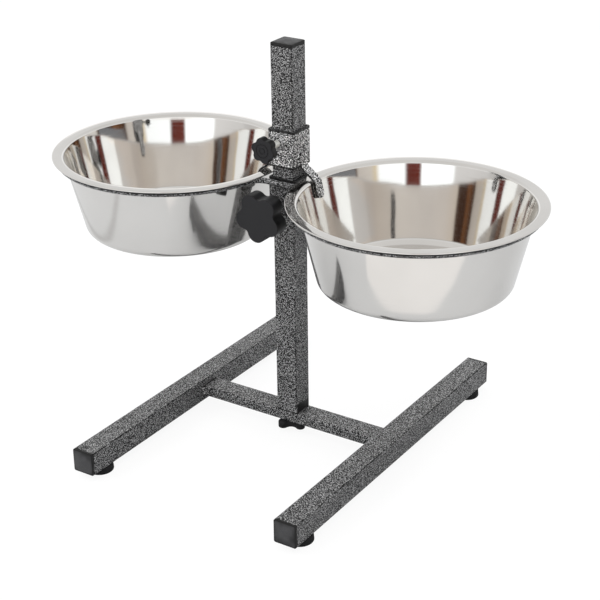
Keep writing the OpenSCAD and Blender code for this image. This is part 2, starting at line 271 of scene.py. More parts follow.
def closed_ends(grid: Array) -> Array:
    """Grid with a pole row, the mean of the end row, added at both ends."""
    first, last = (np.broadcast_to(grid[k].mean(0), grid[k].shape)[None] for k in (0, -1))
    return np.concatenate([first, grid, last])


def grid_cells(grid: Array, wrap: bool) -> tuple[Array, Array, Array]:
    """Cells of a grid whose columns close on themselves.

    A row whose points coincide is one pole vertex, and its cells become triangles. The faces are turned
    over where the signed volume, the sum of a . (b x c) / 6 over the triangles, is negative.

    Args:
        grid: Rows by columns by 3.
        wrap: True if the last row joins the first.

    Returns:
        Vertices, quads and triangles.
    """
    rows, cols = grid.shape[:2]
    index = np.arange(rows * cols).reshape(rows, cols)
    pole = np.ptp(grid, axis=1).max(axis=1) < POLE
    index[pole] = index[pole][:, :1]
    down = np.arange(rows if wrap else rows - 1)[:, None]
    across = np.arange(cols)[None, :]
    below, beside = (down + 1) % rows, (across + 1) % cols
    corners = (index[down, across], index[down, beside], index[below, beside], index[below, across])
    quads = np.stack(np.broadcast_arrays(*corners), -1).reshape(-1, 4)
    verts = grid.reshape(-1, 3)
    a, b, c, d = (verts[quads[:, k]] for k in range(4))
    if np.einsum("ij,ij->", a, np.cross(b, c)) + np.einsum("ij,ij->", a, np.cross(c, d)) < 0:
        quads = quads[:, ::-1]
    same = quads == np.roll(quads, -1, axis=1)
    whole = ~same.any(axis=1)
    cut = quads[~whole]
    drop = same[~whole].argmax(axis=1)
    keep = (drop[:, None] + np.arange(1, 4)[None, :]) % 4
    return verts, quads[whole], np.take_along_axis(cut, keep, axis=1)


class Shape:
    """Closed surface on a grid whose columns, and rows where they wrap, close on themselves.

    Edges that turn by more than the sharp angle, in degrees, show as edges.
    """

    wrap: ClassVar[bool] = False
    sharp: ClassVar[float] = 38.0

    def surface(self) -> Array:
        """Grid of rows by columns by 3, in the shape's own millimetres."""
        raise NotImplementedError

    def marks(self, grid: Array) -> Array:
        """Edge values of the grid's points: 0 everywhere on a plain shape."""
        return np.zeros(grid.shape[:2])


def skin(name: str, shapes: Sequence[Shape], place: Place) -> bpy.types.Object:
    """Object with one closed shell for each shape, shaded smooth up to the shapes' sharp angle.

    Args:
        name: Object name.
        shapes: Shapes of one kind.
        place: Function from a shape's own millimetres to the frame's.

    Returns:
        The object, at the origin, with the edge values in its point attribute "edge".
    """
    verts, faces, edge_values, start = [], [], [], 0
    for shape in shapes:
        grid = shape.surface()
        points, quads, triangles = grid_cells(place(grid) * MM, shape.wrap)
        used, back = np.unique(np.concatenate([quads.ravel(), triangles.ravel()]), return_inverse=True)
        back = back + start
        verts.append(points[used])
        edge_values.append(shape.marks(grid).ravel()[used])
        faces += back[: quads.size].reshape(-1, 4).tolist() + back[quads.size:].reshape(-1, 3).tolist()
        start += len(used)
    mesh = bpy.data.meshes.new(name)
    mesh.from_pydata(np.concatenate(verts).tolist(), [], faces)
    mesh.shade_smooth()
    mesh.set_sharp_from_angle(angle=math.radians(shapes[0].sharp))
    edge = mesh.attributes.new("edge", "FLOAT", "POINT")
    edge.data.foreach_set("value", np.concatenate(edge_values).astype(np.float32))
    mesh.update()
    piece = bpy.data.objects.new(name, mesh)
    bpy.context.scene.collection.objects.link(piece)
    return piece


class Nodes:
    """Shorthand for building a node tree."""

    def __init__(self, tree: bpy.types.NodeTree) -> None:
        """Start from an empty tree."""
        self.tree = tree
        tree.nodes.clear()

    def put(self, node: bpy.types.Node, inputs: Inputs) -> None:
        """Set a node's inputs: a socket is linked, and a colour gets its alpha.

        Args:
            node: The node.
            inputs: Input names or numbers with their values or source sockets.
        """
        for key, value in inputs.items():
            socket = node.inputs[key]
            if isinstance(value, Socket):
                self.tree.links.new(value, socket)
            else:
                socket.default_value = (*value, 1.0) if socket.type == "RGBA" else value

    def add(self, kind: str, inputs: Inputs | None = None, **settings: object) -> bpy.types.Node:
        """Add a node, then set its properties and its inputs.

        Args:
            kind: Node type.
            inputs: Input names or numbers with their values or source sockets.
            **settings: Node properties.

        Returns:
            The node.
        """
        node = self.tree.nodes.new(kind)
        for key, value in settings.items():
            setattr(node, key, value)
        self.put(node, inputs or {})
        return node

    def math(self, operation: str, a: Feed, b: Feed = 0.0) -> Socket:
        """Result of a two-input math node."""
        return self.add("ShaderNodeMath", {0: a, 1: b}, operation=operation).outputs[0]

    def remap(self, value: Socket, span: Span, to: tuple[Feed, Feed] = (0.0, 1.0)) -> Socket:
        """Result of a smooth map from a span of values to another."""
        inputs = {"Value": value, "From Min": span[0], "From Max": span[1], "To Min": to[0], "To Max": to[1]}
        return self.add("ShaderNodeMapRange", inputs, interpolation_type="SMOOTHSTEP").outputs[0]

    def mix(self, factor: Feed, a: Feed, b: Feed, blend: str = "MIX") -> Socket:
        """Result of a colour mix of a and b, which are the node's inputs 6 and 7."""
        inputs = {0: factor, 6: a, 7: b}
        return self.add("ShaderNodeMix", inputs, data_type="RGBA", blend_type=blend).outputs[2]

    def noise(self, where: Socket, scale: Feed, detail: float, rough: float = 0.5, ways: int = 3) -> Socket:
        """Value of a noise texture at a point or, with one way, at one coordinate."""
        inputs = {"Vector" if ways == 3 else "W": where, "Scale": scale, "Detail": detail, "Roughness": rough}
        return self.add("ShaderNodeTexNoise", inputs, noise_dimensions=f"{ways}D").outputs["Fac"]


class EffectGroups:
    """Node groups that more than one finish uses."""

    # Noise values: the usual range, and where pits, flecks and patches begin and are full
    NOISE: ClassVar[Span] = (0.3, 0.7)
    PIT: ClassVar[Span] = (0.505, 0.465)
    FLECK: ClassVar[Span] = (0.53, 0.6)
    PATCH: ClassVar[Span] = (0.35, 0.65)

    # Grain scale over cloud scale
    GRAIN_SCALE: ClassVar[float] = 40.0

    # What a patch adds to an edge value, the sums that become the mask, and the mask's most
    PATCH_SHIFT: ClassVar[Span] = (-0.55, 0.15)
    EDGE: ClassVar[Span] = (0.1, 0.75)
    EDGE_MOST: ClassVar[float] = 0.93

    # Scale and weight of wide and fine lines
    WIDE_LINES: ClassVar[Pair] = (260.0, 0.6)
    FINE_LINES: ClassVar[Pair] = (2400.0, 0.4)

    def __init__(self) -> None:
        """Build every group once."""
        self.hammer = self._hammer()
        self.cloud = self._cloud()
        self.lines = self._lines()
        self.edge = self._edge()

    @staticmethod
    def _group(name: str, inputs: dict[str, Kind], outputs: dict[str, Kind]) -> tuple[Nodes, Sockets]:
        """Group with named sockets and an input node.

        Args:
            name: Group name.
            inputs: Name and kind of each input.
            outputs: Name and kind of each output.

        Returns:
            The builder and the sockets that bring the inputs.
        """
        tree = bpy.data.node_groups.new(name, "ShaderNodeTree")
        for way, sockets in (("INPUT", inputs), ("OUTPUT", outputs)):
            for label, kind in sockets.items():
                tree.interface.new_socket(label, in_out=way, socket_type=kind.value)
        nodes = Nodes(tree)
        return nodes, nodes.add("NodeGroupInput").outputs

    def _hammer(self) -> bpy.types.NodeTree:
        """Hammered paint: a maze of dark pits, grey lumps and pale flecks, cut from one noise.

        Returns:
            Group with Vector, Scale, Pit, Lump and Fleck inputs and Color and Height outputs.
        """
        colours = {"Pit": Kind.COLOUR, "Lump": Kind.COLOUR, "Fleck": Kind.COLOUR}
        n, given = self._group("hammered_paint", {"Vector": Kind.VECTOR, "Scale": Kind.VALUE, **colours},
                               {"Color": Kind.COLOUR, "Height": Kind.VALUE})
        lift = n.noise(given["Vector"], given["Scale"], detail=1.0, rough=0.45)
        base = n.mix(n.remap(lift, self.PIT), given["Lump"], given["Pit"])
        colour = n.mix(n.remap(lift, self.FLECK), base, given["Fleck"])
        n.add("NodeGroupOutput", {"Color": colour, "Height": lift})
        return n.tree

    def _cloud(self) -> bpy.types.NodeTree:
        """Slow cloudy change from Low to High, and a fine grain.

        Returns:
            Group with Vector, Scale, Low and High inputs and Value and Grain outputs.
        """
        values = {"Scale": Kind.VALUE, "Low": Kind.VALUE, "High": Kind.VALUE}
        n, given = self._group("cloudy_change", {"Vector": Kind.VECTOR, **values},
                               {"Value": Kind.VALUE, "Grain": Kind.VALUE})
        slow = n.noise(given["Vector"], given["Scale"], detail=3.0)
        fine = n.noise(given["Vector"], n.math("MULTIPLY", given["Scale"], self.GRAIN_SCALE), detail=2.0)
        value = n.remap(slow, self.NOISE, (given["Low"], given["High"]))
        n.add("NodeGroupOutput", {"Value": value, "Grain": fine})
        return n.tree

    def _edge(self) -> bpy.types.NodeTree:
        """Broken mask of the attribute "edge": painted shade on steel and moulded edges, and bare tube ends.

        Returns:
            Group with a Vector and a Scale input and a Mask output.
        """
        n, given = self._group("edge_mask", {"Vector": Kind.VECTOR, "Scale": Kind.VALUE},
                               {"Mask": Kind.VALUE})
        mark = n.add("ShaderNodeAttribute", attribute_name="edge").outputs["Fac"]
        cloud = n.noise(given["Vector"], given["Scale"], detail=3.0, rough=0.65)
        edge_values = n.math("ADD", mark, n.remap(cloud, self.PATCH, self.PATCH_SHIFT))
        mask = n.remap(edge_values, self.EDGE, (0.0, self.EDGE_MOST))
        n.add("NodeGroupOutput", {"Mask": mask})
        return n.tree

    def _lines(self) -> bpy.types.NodeTree:
        """Fine turning and polishing lines along one coordinate: the weighted sum of a wide and a fine noise.

        Returns:
            Group with Along, Low and High inputs and Value and Height outputs.
        """
        n, given = self._group("polish_lines", {"Along": Kind.VALUE, "Low": Kind.VALUE, "High": Kind.VALUE},
                               {"Value": Kind.VALUE, "Height": Kind.VALUE})
        wide, fine = (n.math("MULTIPLY", n.noise(given["Along"], scale, detail, ways=1), weight)
                      for (scale, weight), detail in ((self.WIDE_LINES, 3.0), (self.FINE_LINES, 2.0)))
        both = n.math("ADD", wide, fine)
        value = n.remap(both, self.NOISE, (given["Low"], given["High"]))
        n.add("NodeGroupOutput", {"Value": value, "Height": both})
        return n.tree


class Finish:
    """A material and the builder of its node tree."""

    def __init__(self, name: str) -> None:
        """Make the material with an output and a Principled shader.

        Args:
            name: Material name.
        """
        self.material = bpy.data.materials.new(name)
        self.material.use_nodes = True
        self.nodes = Nodes(self.material.node_tree)
        self.shader = self.nodes.add("ShaderNodeBsdfPrincipled")
        self.nodes.add("ShaderNodeOutputMaterial", {"Surface": self.shader.outputs["BSDF"]})
        self.coords = self.nodes.add("ShaderNodeTexCoord").outputs["Object"]

    def group(self, tree: bpy.types.NodeTree, **inputs: Feed) -> Sockets:
        """Outputs of a shared effect that is placed in this material with its own inputs."""
        return self.nodes.add("ShaderNodeGroup", inputs, node_tree=tree).outputs

    def set(self, **inputs: Feed) -> None:
        """Link or set the shader's own inputs, with underscores for spaces."""
        self.nodes.put(self.shader, {key.replace("_", " "): value for key, value in inputs.items()})

    def bump(self, height: Socket, strength: float, depth: float) -> None:
        """Feed the shader's normal from a height whose full step is depth in millimetres."""
        inputs = {"Strength": strength, "Distance": depth * MM, "Height": height}
        self.set(Normal=self.nodes.add("ShaderNodeBump", inputs).outputs["Normal"])


@dataclass(frozen=True)
class HammerPaint:
    """Grey hammer-effect paint on the steel work.

    Scales are noise cells in a metre, the turn is in radians and the depth in millimetres.
    """

    pit: Colour = (0.002, 0.002, 0.0022)
    lump: Colour = (0.055, 0.055, 0.057)
    fleck: Colour = (0.42, 0.42, 0.423)
    # Near black that the edge mask paints: painted shade, and bare metal on the tube ends
    bare_and_shade: Colour = (0.002, 0.002, 0.002)
    scale: float = 920.0
    turn: Point = (0.9, 0.79, 0.0)
    patch_scale: float = 55.0
    cloud_scale: float = 60.0
    rough: Span = (0.3, 0.42)
    metal: float = 0.15
    gloss: float = 0.25
    relief: float = 0.55
    depth: float = 0.25

    def fill(self, f: Finish, effects: EffectGroups) -> None:
        """Coloured pits and lumps with their relief, dark with painted shade and bare ends, under a changing
        gloss.

        Args:
            f: The finish to fill.
            effects: Shared groups.
        """
        turned = f.nodes.add("ShaderNodeMapping", {"Vector": f.coords, "Rotation": self.turn}).outputs[0]
        cells = f.group(effects.hammer, Vector=turned, Scale=self.scale, Pit=self.pit, Lump=self.lump,
                        Fleck=self.fleck)
        low, high = self.rough
        cloud = f.group(effects.cloud, Vector=f.coords, Scale=self.cloud_scale, Low=low, High=high)
        edge = f.group(effects.edge, Vector=f.coords, Scale=self.patch_scale)
        f.set(Base_Color=f.nodes.mix(edge["Mask"], cells["Color"], self.bare_and_shade), Roughness=cloud["Value"],
              Metallic=self.metal, Specular_IOR_Level=self.gloss)
        f.bump(cells["Height"], self.relief, self.depth)


@dataclass(frozen=True)
class MouldedPlastic:
    """Black moulded plastic with a fine grain."""

    dark: Colour
    light: Colour
    rough: Span
    relief: float = 0.12
    gloss: float = 0.2
    # Colour of the painted shade on a knob's sides and a cap's edges
    edge: Colour = (0.004, 0.004, 0.004)
    cloud_scale: float = 70.0
    patch_scale: float = 20.0
    depth: float = 0.25

    def fill(self, f: Finish, effects: EffectGroups) -> None:
        """Slow change of gloss over a fine moulded grain, darker along the edges with painted shade.

        Args:
            f: The finish to fill.
            effects: Shared groups.
        """
        low, high = self.rough
        cloud = f.group(effects.cloud, Vector=f.coords, Scale=self.cloud_scale, Low=low, High=high)
        edge = f.group(effects.edge, Vector=f.coords, Scale=self.patch_scale)
        face = f.nodes.mix(f.nodes.remap(cloud["Grain"], EffectGroups.NOISE), self.dark, self.light)
        f.set(Base_Color=f.nodes.mix(edge["Mask"], face, self.edge), Roughness=cloud["Value"],
              Specular_IOR_Level=self.gloss)
        f.bump(cloud["Grain"], self.relief, self.depth)


@dataclass(frozen=True)
class ZincPlate:
    """Bright zinc on studs and the inner plate."""

    dull: Colour = (0.5, 0.5, 0.48)
    bright: Colour = (0.78, 0.78, 0.75)
    rough: Span = (0.22, 0.36)
    cloud_scale: float = 160.0
    spangle: Span = (0.35, 0.65)
    relief: float = 0.15
    depth: float = 0.1

    def fill(self, f: Finish, effects: EffectGroups) -> None:
        """Metal with a fine spangle and a slow change of gloss.

        Args:
            f: The finish to fill.
            effects: Shared groups.
        """
        low, high = self.rough
        cloud = f.group(effects.cloud, Vector=f.coords, Scale=self.cloud_scale, Low=low, High=high)
        spot = f.nodes.remap(cloud["Grain"], self.spangle)
        f.set(Base_Color=f.nodes.mix(spot, self.dull, self.bright), Roughness=cloud["Value"], Metallic=1.0)
        f.bump(cloud["Grain"], self.relief, self.depth)


@dataclass(frozen=True)
class PolishedSteel:
    """Mirror-polished stainless steel of the bowls, with faint turning lines and a slight waviness."""

    shade: Colour = (0.735, 0.72, 0.7)
    bright: Colour = (0.775, 0.76, 0.74)
    deep: Colour = (0.3, 0.295, 0.28)
    deep_bounces: Span = (2.0, 4.0)
    rough: Span = (0.04, 0.095)
    outer_rough: float = 0.025
    climb: float = 1.7
    cloud_scale: float = 14.0
    wave_scale: float = 22.0
    line_relief: float = 0.004
    relief: float = 0.2
    depth: float = 1.0

    def fill(self, f: Finish, effects: EffectGroups) -> None:
        """Metal with lines round the bowl's axis, a softer outside and a faint glow after several bounces.

        The line coordinate is the distance from the nearer bowl's axis plus climb times the height, so that
        the lines run round the floor, the wall and the rim alike. The attribute "edge" is 1 outside.

        Args:
            f: The finish to fill.
            effects: Shared groups.
        """
        n = f.nodes
        x, y, z = n.add("ShaderNodeSeparateXYZ", {0: f.coords}).outputs
        dx = n.math("SUBTRACT", n.math("ABSOLUTE", x), BOWL_X * MM)
        dy = n.math("SUBTRACT", y, POST_Y * MM)
        radius = n.math("SQRT", n.math("ADD", n.math("MULTIPLY", dx, dx), n.math("MULTIPLY", dy, dy)))
        along = n.math("ADD", radius, n.math("MULTIPLY", z, self.climb))
        lines = f.group(effects.lines, Along=along, Low=self.rough[0], High=self.rough[1])
        cloud = f.group(effects.cloud, Vector=f.coords, Scale=self.cloud_scale, Low=0.0, High=1.0)
        outside = n.add("ShaderNodeAttribute", attribute_name="edge").outputs["Fac"]
        bounces = n.add("ShaderNodeLightPath").outputs["Ray Depth"]
        f.set(Base_Color=n.mix(cloud["Value"], self.shade, self.bright),
              Roughness=n.math("ADD", lines["Value"], n.math("MULTIPLY", outside, self.outer_rough)),
              Emission_Color=n.mix(n.remap(bounces, self.deep_bounces), BLACK, self.deep),
              Metallic=1.0, Emission_Strength=1.0)
        wave = n.noise(f.coords, self.wave_scale, detail=1.0)
        fine = n.math("MULTIPLY", lines["Height"], self.line_relief)
        f.bump(n.math("ADD", wave, fine), self.relief, self.depth)


class Finishes:
    """All materials of the stand."""

    def __init__(self) -> None:
        """Make one material for each look."""
        recipes = {
            Look.PAINT: HammerPaint(),
            Look.FRESH_PAINT: HammerPaint(pit=(0.0015, 0.0015, 0.0016), lump=(0.1, 0.1, 0.103), fleck=WHITE),
            Look.CAP: MouldedPlastic(dark=(0.04, 0.04, 0.042), light=(0.062, 0.062, 0.065),
                                     rough=(0.42, 0.56), gloss=0.3),
            Look.FOOT: MouldedPlastic(dark=(0.008, 0.008, 0.009), light=(0.02, 0.02, 0.021),
                                      rough=(0.6, 0.78), relief=0.2, gloss=0.15),
            Look.KNOB: MouldedPlastic(dark=(0.011, 0.011, 0.0125), light=(0.021, 0.021, 0.023),
                                      rough=(0.32, 0.46)),
            Look.ZINC: ZincPlate(),
            Look.STEEL: PolishedSteel(),
        }
        effects = EffectGroups()
        self.made: dict[Look, bpy.types.Material] = {}
        for look, recipe in recipes.items():
            finish = Finish(look.label)
            recipe.fill(finish, effects)
            self.made[look] = finish.material

    def dress(self, piece: bpy.types.Object, look: Look) -> None:
        """Give a piece the finish of a look in place of what it has."""
        piece.data.materials.clear()
        piece.data.materials.append(self.made[look])


@dataclass
class SubAssembly:
    """Pieces of the stand that are built and dressed together."""

    finishes: Finishes

    def make(self, name: str, node: str, body: Body, look: Look, shapes: Sequence[Shape],
             place: Place) -> None:
        """Build and dress a piece, and let it ride on a body in place of a CAD node.

        Args:
            name: Name of the piece.
            node: The CAD node that it stands for.
            body: The body that it moves with.
            look: Its finish.
            shapes: Its closed shells.
            place: Where they go.
        """
        piece = skin(name, shapes, place)
        self.finishes.dress(piece, look)
        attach(piece, body.value)
        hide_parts(node)
        LOG.info("%s: %d faces on %s", name, len(piece.data.polygons), body.value)


@dataclass
class SquareTube(Shape):
    """Rectangular tube along its own Z with eased ends."""

    wrap: ClassVar[bool] = True
    length: float
    width: float = TUBE
    height: float = TUBE
    corner: float = TUBE_CORNER
    wall: float = TUBE_WALL
    least_corner: float = 0.3
    ease: float = 0.45
    ease_points: int = 5
    band: float = 0.7
    # Edge values of painted shade on the ends, which are also bare, on the corners and on the +X side's foot
    band_mark: float = 0.8
    lip: float = 1.0
    ridge: float = 0.75
    shade: float = 0.0
    shade_top: float = 14.0

    def surface(self) -> Array:
        """Closed wall: soft rectangles over the upper end, down the inside, over the lower end and up again.

        Returns:
            The grid, from z = 0 to the length, whose last row is the outside at the shade's top.
        """
        inset, rise, _ = self._end()
        inset = np.concatenate([inset, inset[::-1], [0.0]])
        z = np.concatenate([self.length + rise, -rise[::-1], [self.shade_top]])
        corner = np.maximum(self.corner - inset, self.least_corner)
        return lifted(soft_rectangle(self.width / 2 - inset, self.height / 2 - inset, corner), z)

    def marks(self, grid: Array) -> Array:
        """Edge values: lip on the ends and inside, for bare ends and painted shade, and ridge times a sine's
        fourth power across each corner, a painted shade.

        The side towards +X also takes the shade value, a painted shadow, at the lower end, falling to 0 at
        the shade's top.

        Args:
            grid: The surface; not used.

        Returns:
            Values of rows by points.
        """
        _, _, ends = self._end()
        ends = np.concatenate([ends, ends[::-1], [0.0]])
        sides = len(SIDE_SHARES)
        turn = np.sin(np.linspace(0.0, np.pi, CORNER_POINTS)) ** 4
        corners = np.tile(np.concatenate([turn, np.zeros(sides)]), 4)
        edge_values = np.maximum(self.lip * ends[:, None], self.ridge * corners)
        lower, right = -2, [0, *range(-1 - sides, 0)]
        edge_values[lower, right] = self.shade
        return edge_values

    def _end(self) -> tuple[Array, Array, Array]:
        """Rows of one end, from the outside to the inside: a band, then two quarter circles over the wall.

        Returns:
            Inset, height over the end and edge value of each row.
        """
        e, b = self.ease, self.band
        x, z = arc(0.0, 0.0, e, 0.0, 90.0, self.ease_points).T
        inset = np.concatenate([[0.0, 0.0], e - x, self.wall - e + x[::-1]])
        rise = np.concatenate([[-2.0 * b, -b], z, z[::-1]]) - e
        return inset, rise, np.concatenate([[0.0, self.band_mark], np.ones(2 * self.ease_points)])


@dataclass
class EndCap(Shape):
    """Plastic plug with a rounded flange and a low four-sided crown, from the tube's end at z = 0."""

    sharp: ClassVar[float] = 50.0
    corner: float = TUBE_CORNER
    corner_share: float = 0.22
    flange: float = 2.0
    edge: float = 0.9
    edge_points: int = 7
    crown: float = 1.5
    crown_steps: tuple[float, ...] = (0.0, 0.06, 0.16, 0.4, 0.7, 0.93, 1.0)
    # Painted shade, darker from the crown's middle out to the flange
    crown_shade: tuple[float, ...] = (0.0, 0.02, 0.06, 0.18, 0.36, 0.55, 0.7)
    blunt: float = 0.004
    swell: float = 0.063
    plug_half: float = 11.4
    plug: float = 14.0
    wall: float = 2.0
    floor: float = 0.5

    def surface(self) -> Array:
        """Outlines from the crown's apex over the rounded edge, under the flange and round the hollow plug.

        The crown's height at the share s of the way out is crown (1 - sqrt(s^2 + blunt) + swell s).

        Returns:
            The grid.
        """
        half, hollow = TUBE / 2, self.plug_half - self.wall
        s = np.array(self.crown_steps)
        slope = self.flange + self.crown * (1.0 - np.sqrt(s * s + self.blunt) + self.swell * s)
        rim = arc(half - self.edge, self.flange - self.edge, self.edge, 90.0, 0.0, self.edge_points)
        plug = np.array([(half, 0.0), (self.plug_half, 0.0), (self.plug_half, -self.plug),
                         (hollow, -self.plug), (hollow, -self.floor), (0.0, -self.floor)])
        halves, z = np.vstack([np.column_stack([(half - self.edge) * s, slope]), rim, plug]).T
        return lifted(soft_rectangle(halves, halves, np.minimum(self.corner, self.corner_share * halves)), z)

    def marks(self, grid: Array) -> Array:
        """Edge values of painted shade: 1 on the flange's round edge and below, falling to 0 at the crown's
        middle.
        """
        rows = np.concatenate([self.crown_shade, np.ones(len(grid) - len(self.crown_shade))])
        return np.broadcast_to(rows[:, None], grid.shape[:2])


@dataclass
class StarKnob(Shape):
    """Star knob along its own Z: the back of the star is z = 0 and its face z = thick.

    Tip is the radius to the tips of the lobes, lobe and hollow are those of the outline's circles, edge that
    of its round edges, and turn is the angle of a tip in degrees. The hub is the length behind the star.
    """

    lobes: int
    tip: float
    lobe: float
    hollow: float
    thick: float
    turn: float
    edge: float
    hub: float
    hub_radius: float
    grooves: tuple[float, ...] = ()
    groove: tuple[Pair, ...] = ((0.75, 0.0), (0.45, 0.05), (0.2, 0.5))
    hub_edge: float = 0.6
    fillet: float = 0.7
    fillet_step: float = 0.2
    middle: float = 1.2
    face_shares: Pair = (0.96, 0.75)
    back_share: float = 0.5
    edge_points: int = 7
    # Painted shade on the lobes' sides and behind them
    side_shade: float = 0.65
    edge_share: float = 0.3
    columns: int = 288

    def outline(self, angle: Array) -> Array:
        """Polar radius of the star.

        Within the touching point it is the outer branch of a lobe circle, c cos p + sqrt(l^2 - c^2 sin^2 p),
        and beyond it the inner branch of a hollow circle, e cos q - sqrt(h^2 - e^2 sin^2 q).

        Args:
            angle: Angles in radians.

        Returns:
            Radii.
        """
        half = math.pi / self.lobes
        c = self.tip - self.lobe
        reach = self.lobe + self.hollow
        e = c * math.cos(half) + math.sqrt(reach**2 - (c * math.sin(half)) ** 2)
        share = self.lobe / reach
        touch = math.atan2(e * math.sin(half) * share, c + (e * math.cos(half) - c) * share)
        p = np.abs((angle - math.radians(self.turn) + half) % (2 * half) - half)
        q = half - p
        outer = c * np.cos(p) + np.sqrt(np.maximum(self.lobe**2 - (c * np.sin(p)) ** 2, 0.0))
        inner = e * np.cos(q) - np.sqrt(np.maximum(self.hollow**2 - (e * np.sin(q)) ** 2, 0.0))
        return np.where(p < touch, outer, inner)

    def rows(self) -> Array:
        """Rows from the hub's end, or the star's back where there is no hub, to the middle of the face.

        Returns:
            Share of the outline, radius of the round part, inset of the outline and height of each row.
        """
        e, h, r, f, s = self.edge, self.thick, self.hub_radius, self.fillet, self.fillet_step
        q = np.radians(np.linspace(0.0, 90.0, self.edge_points))
        ones, none = np.ones_like(q), np.zeros_like(q)
        low = np.column_stack([ones, none, e * (1 - np.sin(q)), e * (1 - np.cos(q))])
        high = np.column_stack([ones, none, e * (1 - np.cos(q)), h - e + e * np.sin(q)])
        back = [(0, 0, 0, 0), (0, r, 0, 0), (self.back_share, r, e, 0)]
        if self.hub > 0.0:
            back = [(0, 0, 0, -self.hub), (0, r - self.hub_edge, 0, -self.hub),
                    (0, r, 0, self.hub_edge - self.hub), (0, r, 0, -f), (0, r + s, 0, -s), (0, r + f, 0, 0),
                    (self.back_share, r + f + s, e, 0)]
        face = [(share, 0, e, h) for share in self.face_shares]
        for ring in self.grooves:
            face += [(0, ring + width, 0, h - depth) for width, depth in self.groove]
            face += [(0, ring - width, 0, h - depth) for width, depth in reversed(self.groove)]
        return np.vstack([back, low, high, face, [(0, self.middle, 0, h), (0, 0, 0, h)]])

    def surface(self) -> Array:
        """Grid of the knob: radius = (1 - share) * round radius + share * (outline - inset).

        Returns:
            The grid, closed at both poles.
        """
        share, rho, inset, z = self.rows().T
        star = self.outline(full_turn(self.columns)) - inset[:, None]
        return round_grid(share[:, None] * star + ((1.0 - share) * rho)[:, None], z)

    def marks(self, grid: Array) -> Array:
        """Edge values: painted shade on the lobes' sides and behind, 0 on the face."""
        side = grid[..., 2] < self.thick - self.edge_share * self.edge
        return np.where(side, self.side_shade, 0.0)


@dataclass
class ThreadedStud(Shape):
    """Stud with a real thread along its own Z."""

    sharp: ClassVar[float] = 60.0
    start: float
    stop: float
    radius: float = 4.0
    pitch: float = 1.25
    depth: float = 0.62
    taper: float = 0.8
    rows_in_pitch: int = 8
    columns: int = 40

    def surface(self) -> Array:
        """Helical thread: radius = crest - depth |2 frac(z / pitch - angle / turn) - 1|, with tapered tips.

        Returns:
            The grid, closed at both ends.
        """
        z = np.arange(self.start, self.stop, self.pitch / self.rows_in_pitch)
        phase = (z[:, None] / self.pitch - full_turn(self.columns) / (2.0 * np.pi)) % 1.0
        thread = self.radius - self.depth * np.abs(2.0 * phase - 1.0)
        tip = self.radius - self.taper + np.minimum(z - z[0], z[-1] - z)
        return closed_ends(round_grid(np.minimum(thread, tip[:, None]), z))


@dataclass
class WeldNut(Shape):
    """Hexagon nut along its own Z with chamfered corners."""

    wrap: ClassVar[bool] = True
    flats: float = 13.0
    height: float = 6.5
    bore: float = 4.03
    chamfer: float = 0.6
    back_chamfer: float = 0.1
    face_share: float = 0.985
    foot_rows: Span = (0.0, 0.05)
    side_from: float = 0.3
    side_rows: int = 24
    columns: int = 120

    def surface(self) -> Array:
        """Hexagon radius a / cos(angle from a flat's middle), cut back by a 30 degree cone at the outer face.

        Returns:
            The grid, whose rows close on themselves, from z = 0 to the height.
        """
        a, b, h, c = self.flats / 2, self.bore, self.height, self.chamfer
        hexagon = a / np.cos(full_turn(self.columns) % (np.pi / 3) - np.pi / 6)
        z = np.concatenate([self.foot_rows, np.linspace(self.side_from, h, self.side_rows)])
        cone = a * self.face_share + (h - z) * math.sqrt(3.0)
        outside = np.minimum(hexagon, cone[:, None])
        bore, depth = np.array([(b + c, h), (b, h - c), (b, c), (b + self.back_chamfer, 0.0)]).T
        inside = np.broadcast_to(bore[:, None], (len(bore), self.columns))
        return round_grid(np.concatenate([outside, inside]), np.concatenate([z, depth]))


@dataclass
class WeldBead(Shape):
    """Rippled fillet in a corner, from one point to another.

    First and second are the ways along the corner's two faces, leg is the bead's reach on each, and ripple
    the distance from one ripple to the next.
    """

    start: Point
    stop: Point
    first: Point
    second: Point
    leg: float
    ripple: float = 1.3
    ripple_height: float = 0.09
    ripple_bow: float = 0.35
    belly: float = 0.12
    taper: float = 0.75
    taper_power: int = 8
    row_step: float = 0.16
    least_rows: int = 24
    points: int = 13

    @classmethod
    def upright(cls, x: float, y: float, heights: Span, ways: Pair, leg: float) -> "WeldBead":
        """Bead along Z in the corner at (x, y), reaching out by the signs of X and Y in ways."""
        low, high = heights
        return cls((x, y, low), (x, y, high), (ways[0], 0, 0), (0, ways[1], 0), leg)

    def surface(self) -> Array:
        """Quarter-round bead: corner + leg (first cos v + second sin v), rippled and tapered at its ends.

        Returns:
            The grid, closed at both ends.
        """
        p, q, a, b = (np.array(v, float) for v in (self.start, self.stop, self.first, self.second))
        length = float(np.linalg.norm(q - p))
        s = np.linspace(0.0, 1.0, max(int(length / self.row_step), self.least_rows))[:, None, None]
        v = np.radians(np.linspace(0.0, 90.0, self.points))[:, None]
        size = 1.0 - self.taper * np.abs(2.0 * s - 1.0) ** self.taper_power
        wave = np.abs(np.sin(np.pi * (s * length / self.ripple + self.ripple_bow * np.sin(2 * v))))
        bulge = self.leg * size * (1.0 + self.ripple_height * wave) * (1.0 + self.belly * np.sin(2 * v))
        root = p + (q - p) * s
        return closed_ends(np.concatenate([root + bulge * (a * np.cos(v) + b * np.sin(v)), root], axis=1))


